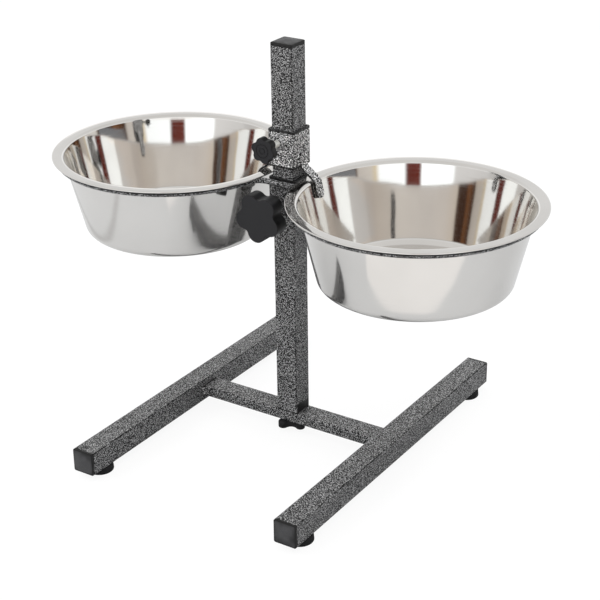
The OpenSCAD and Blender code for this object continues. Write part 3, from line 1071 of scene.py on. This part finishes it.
@dataclass
class Foot(Shape):
    """Round foot with soft edges, a hollow sole and a push-in stem, from the floor at z = 0."""

    radius: float = 14.5
    height: float = 8.0
    low_edge: float = 1.4
    top_edge: float = 1.2
    draw_in: float = 0.5
    edge_points: int = 7
    sole: tuple[Pair, ...] = ((0.0, 0.35), (10.5, 0.3), (11.9, 0.0))
    stem: tuple[Pair, ...] = ((9.5, -0.15), (4.0, -0.1), (4.0, 1.5), (4.4, 1.55), (3.2, 5.5), (0.0, 5.5))
    columns: int = 96

    def surface(self) -> Array:
        """Turned profile: the sole's points, two quarter-circle edges and the stem's points over the top.

        Returns:
            The grid, closed at both poles.
        """
        r, low, top = self.radius, self.low_edge, self.top_edge
        below = arc(r - low, low, low, -90.0, 0.0, self.edge_points)
        above = arc(r - self.draw_in - top, self.height - top, top, 0.0, 90.0, self.edge_points)
        stem = np.add(self.stem, (0.0, self.height))
        return revolve(np.vstack([self.sole, below, above, stem]), self.columns)


@dataclass
class BowlRing(Shape):
    """Round bar bent into a ring with two tails, level at z = 0, from the post's axis.

    Bar is its diameter, radius and bend are those of its middle line, and tail is each tail's distance from
    the axis.
    """

    side: Side
    bar: float = 6.0
    radius: float = 124.5
    bend: float = 15.0
    tail: float = 19.2
    start: float = 0.3
    tail_points: int = 14
    bend_points: int = 22
    ring_points: int = 150
    bar_points: int = 24
    dome_start: float = 0.6
    dome_rows: float = 2.0
    shade: float = 1.3
    shade_rows: Span = (30.0, 40.0)
    shade_heights: Span = (0.02, 0.18)

    def surface(self) -> Array:
        """Circle carried along tail, bend, ring, bend and tail in a level plane, with domed ends.

        Returns:
            The grid, closed at both ends.
        """
        rise = self.tail + self.bend
        run = math.sqrt((self.radius + self.bend) ** 2 - rise**2)
        turn = math.degrees(math.atan2(rise, run))
        x = np.linspace(self.start, BOWL_X - run, self.tail_points)
        tail = np.column_stack([x, np.full(self.tail_points, self.tail)])
        bend = arc(BOWL_X - run, rise, self.bend, -90.0, -turn, self.bend_points)
        half = arc(BOWL_X, 0.0, self.radius, 180.0 - turn, 0.0, self.ring_points)
        there = np.vstack([tail[:-1], bend[:-1], half])
        flat = np.vstack([there, there[-2::-1] * [1.0, -1.0]]) * [self.side.value, 1.0]
        path = np.column_stack([flat, np.zeros(len(flat))])
        tangent = np.gradient(path, axis=0)
        tangent[:2], tangent[-2:] = tangent[2], tangent[-3]
        share = np.clip((rows_from_end(len(path)) + self.dome_start) / self.dome_rows, 0.0, 1.0)
        size = self.bar / 2 * np.sqrt(1.0 - (1.0 - share) ** 2)
        up = np.broadcast_to([0.0, 0.0, 1.0], path.shape)
        return closed_ends(sweep(path, unit(tangent), up, size[:, None, None] * self._section()))

    def marks(self, grid: Array) -> Array:
        """Edge values: 0 on the tails and the bar's lower half, rising to the shade on top, under the rim.

        Args:
            grid: The surface.

        Returns:
            A smooth step of the rows from the ends times one of the height over the bar's middle.
        """
        along = smooth_step(rows_from_end(len(grid)), *self.shade_rows)
        return self.shade * along[:, None] * smooth_step(self._section()[:, 1], *self.shade_heights)

    def _section(self) -> Array:
        """Points of a circle of radius 1."""
        t = full_turn(self.bar_points)
        return np.column_stack([np.cos(t), np.sin(t)])


@dataclass
class Hook(Shape):
    """Flat bar along the sleeve, over the rim and down inside the bowl, from the post's axis.

    Top and knee are heights over the floor, and reach is the end's depth under the rim. The bowls give the
    points of the bend and the end.
    """

    sharp: ClassVar[float] = 50.0
    side: Side = Side.RIGHT
    face: float = 16.2
    top: float = 330.0
    knee: float = 314.0
    width: float = 12.0
    thick: float = 2.5
    bend: float = 3.2
    reach: float = 17.0
    end_round: float = 5.0
    end_flat: float = 0.02
    straight_points: int = 12
    bend_points: int = 11
    even_share: float = 0.6
    even_points: int = 8
    closing_points: int = 16
    edge: float = 0.55
    edge_points: int = 5
    # Painted shade on the narrow sides and on the round edges beside them
    edge_shade: float = 1.2
    side_shade: float = 1.6
    bend_point: Pair = (0.0, 0.0)
    end_point: Pair = (0.0, 0.0)

    def surface(self) -> Array:
        """Round-edged strip carried along a line, to a round end: half width = w - r + sqrt(r^2 - d^2).

        Returns:
            The grid, closed at both ends.
        """
        inner = np.array([(self.face, self.top), (self.face, self.knee), self.bend_point, self.end_point])
        line = self._rounded(self._middle(inner))
        path = np.column_stack([line[:, 0] * self.side.value, np.zeros(len(line)), line[:, 1]])
        tangent = unit(np.gradient(path, axis=0))
        step = np.linalg.norm(np.diff(path, axis=0), axis=1)
        left = np.append(np.cumsum(step[::-1])[::-1], 0.0)
        r = self.end_round
        deep = np.clip(r - left, 0.0, r - self.end_flat)
        half = self.width / 2 - r + np.sqrt(r * r - deep * deep)
        thick, edge = np.full(len(half), self.thick / 2), np.full(len(half), self.edge)
        up = np.cross(tangent, [0.0, 1.0, 0.0])
        return closed_ends(sweep(path, tangent, up, soft_rectangle(half, thick, edge, self.edge_points)))

    def marks(self, grid: Array) -> Array:
        """Edge values: painted shade on the narrow sides, falling over the round edges to 0 on the flats.

        Args:
            grid: The surface.

        Returns:
            The same values in every row.
        """
        turn, sides = np.linspace(self.edge_shade, 0.0, self.edge_points), len(SIDE_SHARES)
        half = np.concatenate([turn, np.zeros(sides), turn[::-1], np.full(sides, self.side_shade)])
        return np.broadcast_to(np.tile(half, 2), grid.shape[:2])

    def _middle(self, points: Array) -> Array:
        """Polyline moved to the left of its way by half the thickness, with mitred corners.

        Args:
            points: Points n by 2.

        Returns:
            Points n by 2.
        """
        way = unit(np.diff(points, axis=0))
        normal = np.column_stack([-way[:, 1], way[:, 0]])
        both = np.vstack([normal[:1], normal]) + np.vstack([normal, normal[-1:]])
        return points + self.thick * both / (both * both).sum(1, keepdims=True)

    def _rounded(self, points: Array) -> Array:
        """Four-point polyline with both inner corners rounded, and rows that close up towards its end.

        Each corner is a quadratic curve between the points one bend length before and after it. The last
        stretch has even rows up to the even share of its length, and rows that follow a sine from there.

        Args:
            points: Points 4 by 2.

        Returns:
            Points n by 2.
        """
        pieces, last = [], points[0]
        t = np.linspace(0.0, 1.0, self.bend_points)[:, None]
        straight = np.linspace(0.0, 1.0, self.straight_points)[:-1, None]
        for before, corner, after in zip(points, points[1:], points[2:]):
            a, b = (corner + (p - corner) / np.linalg.norm(p - corner) * self.bend for p in (before, after))
            pieces += [last + (a - last) * straight, (1 - t) ** 2 * a + 2 * t * (1 - t) * corner + t * t * b]
            last = b
        even = self.even_share
        closing = even + (1.0 - even) * np.sin(np.linspace(0.0, np.pi / 2, self.closing_points)[1:])
        s = np.concatenate([np.linspace(0.0, even, self.even_points)[1:], closing])
        return np.vstack([*pieces, last + (points[-1] - last) * s[:, None]])


@dataclass
class Bowl(Shape):
    """Pressed steel bowl, a surface of revolution about its own Z from the rim's underside at z = 0.

    Lean is the wall's angle from upright in degrees, and the dish is the raised middle of the floor. Its step
    and the rows round it are given as distances from the dish's radius.
    """

    sharp: ClassVar[float] = 60.0
    rim_radius: float = 131.5
    rim_thick: float = 1.8
    rim_crown: float = 0.15
    wall_radius: float = 119.5
    lean: float = 13.5
    depth: float = 86.0
    sheet: float = 0.8
    base_round: float = 10.0
    lip_round: float = 3.0
    dish_radius: float = 75.0
    dish_rise: float = 2.0
    dish_step: Span = (-2.0, 2.5)
    close_rows: Span = (-3.0, 3.5)
    wide_rows: Span = (-4.0, 5.0)
    floor_points: tuple[int, int, int] = (10, 14, 8)
    floor_short: float = 0.5
    corner_points: int = 16
    out_points: int = 9
    in_points: int = 14
    rim_points: int = 13
    straight_points: int = 12
    columns: int = 288

    @property
    def lip(self) -> float:
        """Radius of the rim's round inner edge."""
        return self.lip_round + self.sheet

    @property
    def lip_radius(self) -> float:
        """Distance of that edge's circle from the axis."""
        lean, steep = math.radians(self.lean), math.tan(math.radians(45.0 - self.lean / 2))
        return (self.wall_radius + self.rim_thick * math.tan(lean) - self.sheet / math.cos(lean)
                + self.lip * steep)

    def surface(self) -> Array:
        """Profile turned about Z."""
        return revolve(self.profile(), self.columns)

    def marks(self, grid: Array) -> Array:
        """Edge values: 1 outside, up to the rim's outermost row, and 0 inside."""
        outer = np.arange(len(grid)) < grid[:, 0, 0].argmax()
        return np.broadcast_to(outer[:, None], grid.shape[:2])

    def profile(self) -> Array:
        """Section from the axis under the floor, up the outside, over the rim and back down the inside.

        Returns:
            Points (r, z).
        """
        lean, edge = math.radians(self.lean), self.rim_thick / 2
        corner_z = self.base_round - self.depth
        corner_r = self.wall_radius + corner_z * math.tan(lean) - self.base_round / math.cos(lean)
        out_r = self.wall_radius + self.lip_round * math.tan(math.radians(45.0 - self.lean / 2))
        upright, corner = 180.0 - self.lean, self.corner_points
        low_out = arc(corner_r, corner_z, self.base_round, -90.0, -self.lean, corner)
        up_out = arc(out_r, -self.lip_round, self.lip_round, upright, 90.0, self.out_points)
        rim = arc(self.rim_radius - edge, edge, edge, -90.0, 90.0, self.rim_points)
        up_in = arc(self.lip_radius, self.rim_thick - self.lip, self.lip, 90.0, upright, self.in_points)
        low_in = arc(corner_r, corner_z, self.base_round - self.sheet, -self.lean, -90.0, corner)
        s = np.linspace(0.0, 1.0, self.straight_points)[1:-1, None]
        outside, below, above, inside = (a[-1] + (b[0] - a[-1]) * s for a, b in (
            (low_out, up_out), (up_out, rim), (rim, up_in), (up_in, low_in)))
        above[:, 1:] += self.rim_crown * np.sin(np.pi * s)
        under, floor = self._floor(-self.depth, corner_r), self._floor(self.sheet - self.depth, corner_r)
        return np.vstack([under, low_out, outside, up_out, below, rim, above, up_in, inside, low_in,
                          floor[::-1]])

    def _floor(self, z: float, reach: float) -> Array:
        """Points from the axis to the floor's edge, with the raised middle falling in a smooth step.

        The close rows lie over the step. The wide rows come before and after them, from the axis to just
        short of the floor's edge.

        Args:
            z: Height of the low part.
            reach: Radius where the corner begins.

        Returns:
            Points (r, z).
        """
        d, (low, high), (stop, start) = self.dish_radius, self.close_rows, self.wide_rows
        runs = ((0.0, d + stop), (d + low, d + high), (d + start, reach - self.floor_short))
        r = np.concatenate([np.linspace(*run, count) for run, count in zip(runs, self.floor_points)])
        return np.column_stack([r, z + self.dish_rise * (1.0 - smooth_step(r - d, *self.dish_step))])


@dataclass
class Base(SubAssembly):
    """H-shaped base: legs, crossbar, welds, caps, feet and the knob under the crossbar."""

    leg_span: float = 255.0
    leg: float = 404.0
    leg_z: float = 21.0
    leg_ridge: float = 0.9
    foot_y: float = 177.0
    cross_height: float = 12.0
    cross_ease: float = 0.1
    cross_band: float = 1.1
    cross_ridge: float = 0.4
    weld: float = 3.0
    weld_short: float = 1.6
    knob_gap: float = 0.1
    knob: StarKnob = field(default_factory=lambda: StarKnob(
        lobes=4, tip=19.2, lobe=4.8, hollow=8.0, thick=8.7, turn=-67.0, edge=2.0, hub=0.0, hub_radius=3.0))

    def build(self) -> None:
        """Build and dress every piece of the base."""
        for side in Side:
            self._leg(side)
            for end in End:
                self._cap(side, end)
                self._foot(side, end)
        self._crossbar()
        self._welds()
        self._knob()

    def _leg(self, side: Side) -> None:
        """Square tube along Y."""
        place = Facing.REAR.at(side.value * self.leg_span / 2, -self.leg / 2, self.leg_z)
        self.make(f"{side.word}_leg_tube", f"{side.word}_leg", Body.BASE, Look.PAINT,
                  [SquareTube(self.leg, ridge=self.leg_ridge)], place)

    def _cap(self, side: Side, end: End) -> None:
        """Plug in one end of a leg."""
        node = f"{end.word}_{side.word}_cap"
        self.make(f"{node}_plug", node, Body.BASE, Look.CAP, [EndCap()],
                  Facing[end.name].at(side.value * self.leg_span / 2, end.value * self.leg / 2, self.leg_z))

    def _foot(self, side: Side, end: End) -> None:
        """Foot under one end of a leg."""
        node = f"{end.word}_{side.word}_foot"
        self.make(f"{node}_pad", node, Body.BASE, Look.FOOT, [Foot()],
                  Facing.UP.at(side.value * self.leg_span / 2, end.value * self.foot_y))

    def _crossbar(self) -> None:
        """Flat tube along X, between the legs."""
        length = self.leg_span - TUBE
        tube = SquareTube(length, height=self.cross_height, ease=self.cross_ease, band=self.cross_band,
                          ridge=self.cross_ridge)
        place = Facing.RIGHT.at(-length / 2, POST_Y, self.leg_z)
        self.make("crossbar_tube", "crossbar", Body.BASE, Look.PAINT, [tube], place)

    def _welds(self) -> None:
        """Upright beads in the four corners between the crossbar and the legs."""
        half, reach = (self.leg_span - TUBE) / 2, self.cross_height / 2 - self.weld_short
        heights = (self.leg_z - reach, self.leg_z + reach)
        beads = []
        for side in Side:
            for end in End:
                x, y = side.value * half, POST_Y + end.value * TUBE / 2
                beads.append(WeldBead.upright(x, y, heights, (-side.value, end.value), self.weld))
        self.make("base_weld_beads", "base_welds", Body.BASE, Look.FRESH_PAINT, beads, Facing.UP.at())

    def _knob(self) -> None:
        """Knob under the crossbar, its back against the bar and its face down."""
        place = Facing.DOWN.at(0.0, POST_Y, self.leg_z - self.cross_height / 2 - self.knob_gap)
        self.make("base_knob_star", "base_knob", Body.BASE_CLAMP, Look.KNOB, [self.knob], place)


@dataclass
class Post(SubAssembly):
    """Upright post with its cap."""

    foot: float = 27.0
    length: float = 415.0
    # Painted shade: a dark line at both ends and a painted shadow on the +X side of the foot
    lip: float = 1.6
    shade: float = 2.2

    def build(self) -> None:
        """Build and dress the post and its cap."""
        tube = SquareTube(self.length, lip=self.lip, shade=self.shade)
        self.make("post_tube", "post", Body.BASE, Look.PAINT, [tube], Facing.UP.at(0.0, POST_Y, self.foot))
        top = Facing.UP.at(0.0, POST_Y, self.foot + self.length)
        self.make("post_cap_plug", "post_cap", Body.BASE, Look.CAP, [EndCap()], top)


@dataclass
class Clamp(SubAssembly):
    """Sleeve on the post with a weld nut, a stud and a star knob.

    Bottom and axis are heights over the floor, and reach goes from the sleeve's face to the knob's. The stud
    runs from stud_tip in front of the post's axis to stud_grip inside the star.
    """

    name: str
    prefix: str
    body: Body
    screw_body: Body
    coat: Look
    bottom: float
    axis: float
    reach: float
    knob: StarKnob
    sleeve: float = 32.4
    wall: float = 2.5
    corner: float = 3.05
    height: float = 40.0
    ease: float = 0.6
    band: float = 1.0
    lip: float = 1.8
    ridge: float = 0.55
    stud_tip: float = 13.1
    stud_grip: float = 5.9

    def build(self) -> None:
        """Build and dress sleeve, nut, stud and knob."""
        tube = SquareTube(self.height, self.sleeve, self.sleeve, self.corner, self.wall, ease=self.ease,
                          band=self.band, lip=self.lip, ridge=self.ridge)
        self.make(f"{self.name}_sleeve", f"{self.name}_collar", self.body, self.coat, [tube],
                  Facing.UP.at(0.0, POST_Y, self.bottom))
        face = self.sleeve / 2
        back = face + self.reach - self.knob.thick
        stud = ThreadedStud(self.stud_tip, back + self.stud_grip)
        self.make(f"{self.prefix}_weld_nut", f"{self.prefix}_nut", self.body, self.coat, [WeldNut()],
                  Facing.FRONT.at(0.0, POST_Y - face, self.axis))
        self.make(f"{self.prefix}_stud", f"{self.prefix}_screw", self.screw_body, Look.ZINC, [stud],
                  Facing.FRONT.at(0.0, POST_Y, self.axis))
        self.make(f"{self.prefix}_knob_star", f"{self.prefix}_knob", self.screw_body, Look.KNOB, [self.knob],
                  Facing.FRONT.at(0.0, POST_Y - back, self.axis))


@dataclass
class Carrier(Clamp):
    """Lower sleeve with the two bowl rings."""

    name: str = "carrier"
    prefix: str = "height"
    body: Body = Body.CARRIER
    screw_body: Body = Body.HEIGHT_CLAMP
    coat: Look = Look.PAINT
    bottom: float = 262.0
    axis: float = 273.0
    reach: float = 45.5
    knob: StarKnob = field(default_factory=lambda: StarKnob(
        lobes=5, tip=26.5, lobe=10.5, hollow=6.0, thick=17.0, turn=49.5, edge=0.7, hub=13.0, hub_radius=10.0))
    ring_z: float = 297.6
    weld: float = 2.5
    weld_short: float = 0.5
    weld_lap: float = 0.4

    def build(self) -> None:
        """Build the clamp, then the rings and their weld beads under the tails."""
        super().build()
        for side in Side:
            node = f"{side.word}_ring"
            self.make(f"{node}_bar", node, self.body, self.coat, [BowlRing(side)],
                      Facing.UP.at(0.0, POST_Y, self.ring_z))
        half = self.sleeve / 2 - self.corner - self.weld_short
        z = self.ring_z - BowlRing.bar / 2 + self.weld_lap
        beads = []
        for end in End:
            y = POST_Y + end.value * self.sleeve / 2
            beads.append(WeldBead((-half, y, z), (half, y, z), (0, end.value, 0), (0, 0, -1), self.weld))
        self.make("ring_weld_beads", "ring_welds", self.body, self.coat, beads, Facing.UP.at())


@dataclass
class Retainer(Clamp):
    """Upper sleeve with the two hooks over the bowls' rims."""

    name: str = "retainer"
    prefix: str = "retainer"
    body: Body = Body.RETAINER
    screw_body: Body = Body.RETAINER_CLAMP
    coat: Look = Look.FRESH_PAINT
    bottom: float = 314.0
    axis: float = 342.0
    reach: float = 33.0
    knob: StarKnob = field(default_factory=lambda: StarKnob(
        lobes=6, tip=13.6, lobe=5.0, hollow=4.0, thick=8.6, turn=45.0, edge=0.7, hub=6.0, hub_radius=6.5,
        grooves=(7.0, 3.0)))
    hook: Hook = field(default_factory=Hook)
    weld: float = 2.0
    weld_short: float = 2.5

    def build(self) -> None:
        """Build the clamp, then the hooks and their weld beads."""
        super().build()
        heights = (self.bottom + self.weld_short, self.hook.top - self.weld_short)
        beads = []
        for side in Side:
            node = f"{side.word}_hook"
            self.make(f"{node}_strip", node, self.body, self.coat, [replace(self.hook, side=side)],
                      Facing.UP.at(0.0, POST_Y))
            x = side.value * self.sleeve / 2
            for end in End:
                y = POST_Y + end.value * self.hook.width / 2
                beads.append(WeldBead.upright(x, y, heights, (side.value, end.value), self.weld))
        self.make("hook_weld_beads", "hook_welds", self.body, self.coat, beads, Facing.UP.at())


@dataclass
class Bowls(SubAssembly):
    """The two steel bowls in their rings."""

    bowl: Bowl = field(default_factory=Bowl)
    rim_z: float = 300.7

    def build(self) -> None:
        """Build and dress both bowls."""
        for side in Side:
            node = f"{side.word}_bowl"
            self.make(f"{node}_steel", node, Body[f"{side.name}_DISH"], Look.STEEL, [self.bowl],
                      Facing.UP.at(side.value * BOWL_X, POST_Y, self.rim_z))

    def hook(self, hook: Hook, gap: float = 0.8) -> Hook:
        """Hook whose arm clears the rim's round inner edge and whose end lies beside the bowl's wall.

        The arm's slope is the angle to the rim's edge circle less the angle that its clearance subtends. The
        clearance is the gap plus w^2 / 8r, the rise of a round wall of radius r over the hook's width w.

        Args:
            hook: The hook's sizes.
            gap: Clearance in millimetres.

        Returns:
            The hook with its bend and end.
        """
        bowl = self.bowl
        lean = math.radians(bowl.lean)
        clear = gap + hook.width**2 / (8.0 * bowl.wall_radius)
        dx = BOWL_X - bowl.lip_radius - hook.face
        dz = hook.knee - self.rim_z - bowl.rim_thick + bowl.lip
        slope = math.atan2(dz, dx) - math.asin((bowl.lip + clear) / math.hypot(dx, dz))
        beside = BOWL_X - bowl.wall_radius + bowl.sheet / math.cos(lean) + clear
        across = beside + (self.rim_z - hook.knee) * math.tan(lean) - hook.face
        arm = across / (math.cos(slope) - math.tan(lean) * math.sin(slope))
        bend = (hook.face + arm * math.cos(slope), hook.knee - arm * math.sin(slope))
        end = (beside + hook.reach * math.tan(lean), self.rim_z - hook.reach)
        return replace(hook, bend_point=bend, end_point=end)


@dataclass(frozen=True)
class PaleFloor:
    """Plain pale floor in metres, which the steel mirrors darker, with a brighter front of painted light and
    a seam.
    """

    size: float = 9.0
    cloud_scale: float = 3.0
    seen: tuple[Colour, Colour] = ((0.09, 0.09, 0.09), (0.1, 0.1, 0.1))
    glow: Colour = (0.91, 0.91, 0.91)
    rough: float = 0.9
    mirrored: Colour = (0.545, 0.55, 0.555)
    # Painted light: the floor beyond the right bowl's shadow, brighter as the steel mirrors it
    front: Colour = (0.71, 0.7, 0.69)
    seam: Colour = (0.42, 0.42, 0.42)
    view: float = 33.4
    edge_across: Span = (-0.2, 0.12)
    edge_towards: Span = (0.27, 0.35)
    step_across: Span = (-0.19, -0.14)
    step_towards: Span = (0.05, 0.0)
    edge_blur: Span = (-0.007, 0.007)
    seam_across: float = 0.478
    seam_blur: Span = (0.003, 0.022)

    def build(self) -> None:
        """Make the floor as a level square."""
        h = self.size / 2
        mesh = bpy.data.meshes.new("pale_floor")
        mesh.from_pydata([(-h, -h, 0.0), (h, -h, 0.0), (h, h, 0.0), (-h, h, 0.0)], [], [(0, 1, 2, 3)])
        floor = bpy.data.objects.new("pale_floor", mesh)
        bpy.context.scene.collection.objects.link(floor)
        f = Finish("pale_floor")
        n = f.nodes
        front, seam = self._masks(f)
        seen = n.mix(n.noise(f.coords, self.cloud_scale, detail=2.0), *self.seen)
        mirrored = n.mix(seam, n.mix(front, self.mirrored, self.front), self.seam)
        direct = n.add("ShaderNodeLightPath").outputs["Is Camera Ray"]
        f.set(Base_Color=n.mix(direct, mirrored, seen), Emission_Color=n.mix(direct, BLACK, self.glow),
              Roughness=self.rough, Specular_IOR_Level=0.0, Emission_Strength=1.0)
        mesh.materials.append(f.material)

    def _masks(self, f: Finish) -> tuple[Socket, Socket]:
        """Masks of the brighter floor in front of the right bowl, a painted light, and of the seam.

        The coordinates are u, across the view, and v, towards the camera: the first mask is a smooth step in
        v over an edge that itself follows smooth steps of u, the second one in u's distance from the seam.

        Args:
            f: The floor's finish.

        Returns:
            Both masks.
        """
        n, a = f.nodes, math.radians(self.view)
        x, y, _ = n.add("ShaderNodeSeparateXYZ", {0: f.coords}).outputs
        u = n.math("ADD", n.math("MULTIPLY", x, math.cos(a)), n.math("MULTIPLY", y, math.sin(a)))
        v = n.math("SUBTRACT", n.math("MULTIPLY", x, math.sin(a)), n.math("MULTIPLY", y, math.cos(a)))
        edge = n.math("ADD", n.remap(u, self.edge_across, self.edge_towards),
                      n.remap(u, self.step_across, self.step_towards))
        away = n.math("ABSOLUTE", n.math("ADD", u, self.seam_across))
        return n.remap(n.math("SUBTRACT", v, edge), self.edge_blur), n.remap(away, self.seam_blur, (1.0, 0.0))


@dataclass(frozen=True)
class Room:
    """White surroundings that the steel mirrors as walls of several colours.

    Bands are compass directions in degrees, 0 in front and 90 to the right, with the wall's colour. Heights
    are the upward part of a unit direction, and the pane's sides are shares of the full turn.
    """

    bands: tuple[tuple[float, Colour], ...] = (
        (-180, (0.82, 0.83, 0.84)), (-104, (0.86, 0.87, 0.87)), (-92, (0.72, 0.71, 0.69)),
        (-66, (0.68, 0.66, 0.63)), (-60, (0.64, 0.62, 0.6)), (-46, (0.66, 0.65, 0.64)),
        (-42, (0.75, 0.74, 0.73)), (-9, (0.85, 0.84, 0.83)), (-6, (1.54, 1.6, 1.62)),
        (24, (1.54, 1.6, 1.62)), (26, (0.17, 0.035, 0.025)), (39, (0.14, 0.03, 0.022)),
        (42, (1.4, 1.45, 1.47)), (66, (1.32, 1.36, 1.38)), (70, (0.82, 0.7, 0.5)),
        (75, (0.74, 0.69, 0.63)), (88, (0.66, 0.61, 0.56)), (91, (0.07, 0.035, 0.022)),
        (103, (0.22, 0.1, 0.045)), (108, (0.06, 0.03, 0.02)), (124, (0.08, 0.045, 0.03)),
        (128, (0.8, 0.77, 0.72)), (150, (0.84, 0.84, 0.84)), (180, (0.82, 0.83, 0.84)))
    warm: Colour = (1.1, 1.03, 0.965)
    warm_height: Span = (0.44, 0.47)
    pane: Colour = (0.23, 0.235, 0.245)
    pane_left: Span = (0.75, 0.756)
    pane_right: Span = (0.84, 0.846)
    pane_height: Span = (0.1, 0.115)
    frieze: tuple[Colour, Colour] = ((1.2, 1.19, 1.17), (0.82, 0.82, 0.815))
    frieze_height: Span = (0.175, 0.205)
    frieze_change: Span = (0.24, 0.3)
    frieze_bounces: float = 2.5
    ceiling: Colour = (0.78, 0.77, 0.755)
    ceiling_height: Span = (0.5, 0.72)

    def build(self) -> None:
        """Make the world: white, and in mirrors walls, a pane, a first-bounce frieze and a ceiling."""
        world = bpy.data.worlds.new("studio_room")
        world.use_nodes = True
        bpy.context.scene.world = world
        n = Nodes(world.node_tree)
        direction = n.add("ShaderNodeTexCoord").outputs["Generated"]
        x, y, height = n.add("ShaderNodeSeparateXYZ", {0: direction}).outputs
        turn = n.math("ARCTAN2", x, n.math("MULTIPLY", y, -1.0))
        around = n.math("ADD", n.math("DIVIDE", turn, 2.0 * math.pi), 0.5)
        path = n.add("ShaderNodeLightPath").outputs
        falling = (1.0, 0.0)
        warm = n.mix(n.remap(height, self.warm_height), WHITE, self.warm)
        sides = n.math("MULTIPLY", n.remap(around, self.pane_left), n.remap(around, self.pane_right, falling))
        pane = n.math("MULTIPLY", sides, n.remap(height, self.pane_height, falling))
        wall = n.mix(pane, n.mix(1.0, self._walls(n, around), warm, "MULTIPLY"), self.pane)
        first = n.math("LESS_THAN", path["Ray Depth"], self.frieze_bounces)
        above = n.math("MULTIPLY", n.remap(height, self.frieze_height), first)
        frieze = n.mix(above, wall, n.mix(n.remap(height, self.frieze_change), *self.frieze))
        mirrored = n.mix(n.remap(height, self.ceiling_height, falling), self.ceiling, frieze)
        room = n.mix(path["Is Glossy Ray"], WHITE, mirrored)
        light = n.add("ShaderNodeBackground", {"Color": room})
        n.add("ShaderNodeOutputWorld", {"Surface": light.outputs[0]})

    def _walls(self, n: Nodes, around: Socket) -> Socket:
        """Colour ramp through the bands, the first two on the stops that a new ramp has.

        Args:
            n: The world's builder.
            around: Share of the full turn, 0.5 in front.

        Returns:
            The wall's colour.
        """
        ramp = n.add("ShaderNodeValToRGB", {"Fac": around})
        stops = ramp.color_ramp.elements
        for k, (direction, colour) in enumerate(self.bands):
            share = direction / 360.0 + 0.5
            stop = stops[k] if k < 2 else stops.new(share)
            stop.position = share
            stop.color = (*colour, 1.0)
        return ramp.outputs["Color"]


@dataclass(frozen=True)
class SoftLight:
    """Square soft light that looks at a point, in metres and watts, and doesn't show in mirrors."""

    name: str
    place: Point
    aim: Point
    size: float
    power: float

    def build(self) -> None:
        """Make the light."""
        data = bpy.data.lights.new(self.name, "AREA")
        data.size, data.energy = self.size, self.power
        lamp = bpy.data.objects.new(self.name, data)
        bpy.context.scene.collection.objects.link(lamp)
        lamp.location = self.place
        lamp.visible_glossy = False
        lamp.rotation_euler = (Vector(self.aim) - Vector(self.place)).to_track_quat("-Z", "Y").to_euler()


@dataclass(frozen=True)
class Studio:
    """Pale floor, room and soft lights."""

    floor: PaleFloor = PaleFloor()
    room: Room = Room()
    key: SoftLight = SoftLight("key_softbox", (-1.6, -1.7, 2.3), (0.0, 0.0, 0.25), 1.6, 36.0)
    top: SoftLight = SoftLight("top_softbox", (0.3, 0.4, 2.6), (0.0, 0.0, 0.2), 2.2, 22.0)

    def build(self) -> None:
        """Make floor, room and lights."""
        for part in (self.floor, self.room, self.key, self.top):
            part.build()


@dataclass(frozen=True)
class PhotoCamera:
    """Camera that stands where the photograph was taken: eye in millimetres, angles in degrees."""

    eye: Point = (840.4, -1252.5, 860.4)
    azimuth: float = 33.392
    elevation: float = 24.903
    roll: float = -0.753
    lens: float = 92.84
    sensor: float = 36.0
    clip: Span = (0.05, 50.0)

    def build(self) -> None:
        """Make the camera and use it for the scene."""
        a, e, r = (math.radians(v) for v in (self.azimuth, self.elevation, self.roll))
        back = Vector((math.sin(a) * math.cos(e), -math.cos(a) * math.cos(e), math.sin(e)))
        right = Vector((math.cos(a), math.sin(a), 0.0))
        up = back.cross(right)
        side = math.cos(r) * right + math.sin(r) * up
        top = math.cos(r) * up - math.sin(r) * right
        data = bpy.data.cameras.new("photo_camera")
        data.lens, data.sensor_width = self.lens, self.sensor
        data.clip_start, data.clip_end = self.clip
        camera = bpy.data.objects.new("photo_camera", data)
        bpy.context.scene.collection.objects.link(camera)
        turn = Matrix((side, top, back)).transposed().to_4x4()
        camera.matrix_world = Matrix.Translation(Vector(self.eye) * MM) @ turn
        bpy.context.scene.camera = camera


def main() -> None:
    """Load the frame, build the stand piece by piece, then the studio and the camera."""
    logging.basicConfig(level=logging.INFO, format="%(name)s: %(message)s")
    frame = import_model()
    finishes = Finishes()
    for name in ("base_screw", "post_nut_plate"):
        finishes.dress(frame["nodes"][name], Look.ZINC)
        LOG.info("%s: the CAD node in %s", name, Look.ZINC.label)
    bowls = Bowls(finishes)
    Base(finishes).build()
    Post(finishes).build()
    Carrier(finishes).build()
    Retainer(finishes, hook=bowls.hook(Hook())).build()
    bowls.build()
    Studio().build()
    PhotoCamera().build()
    bpy.context.scene.view_settings.view_transform = "Standard"


if __name__ == "__main__":
    main()
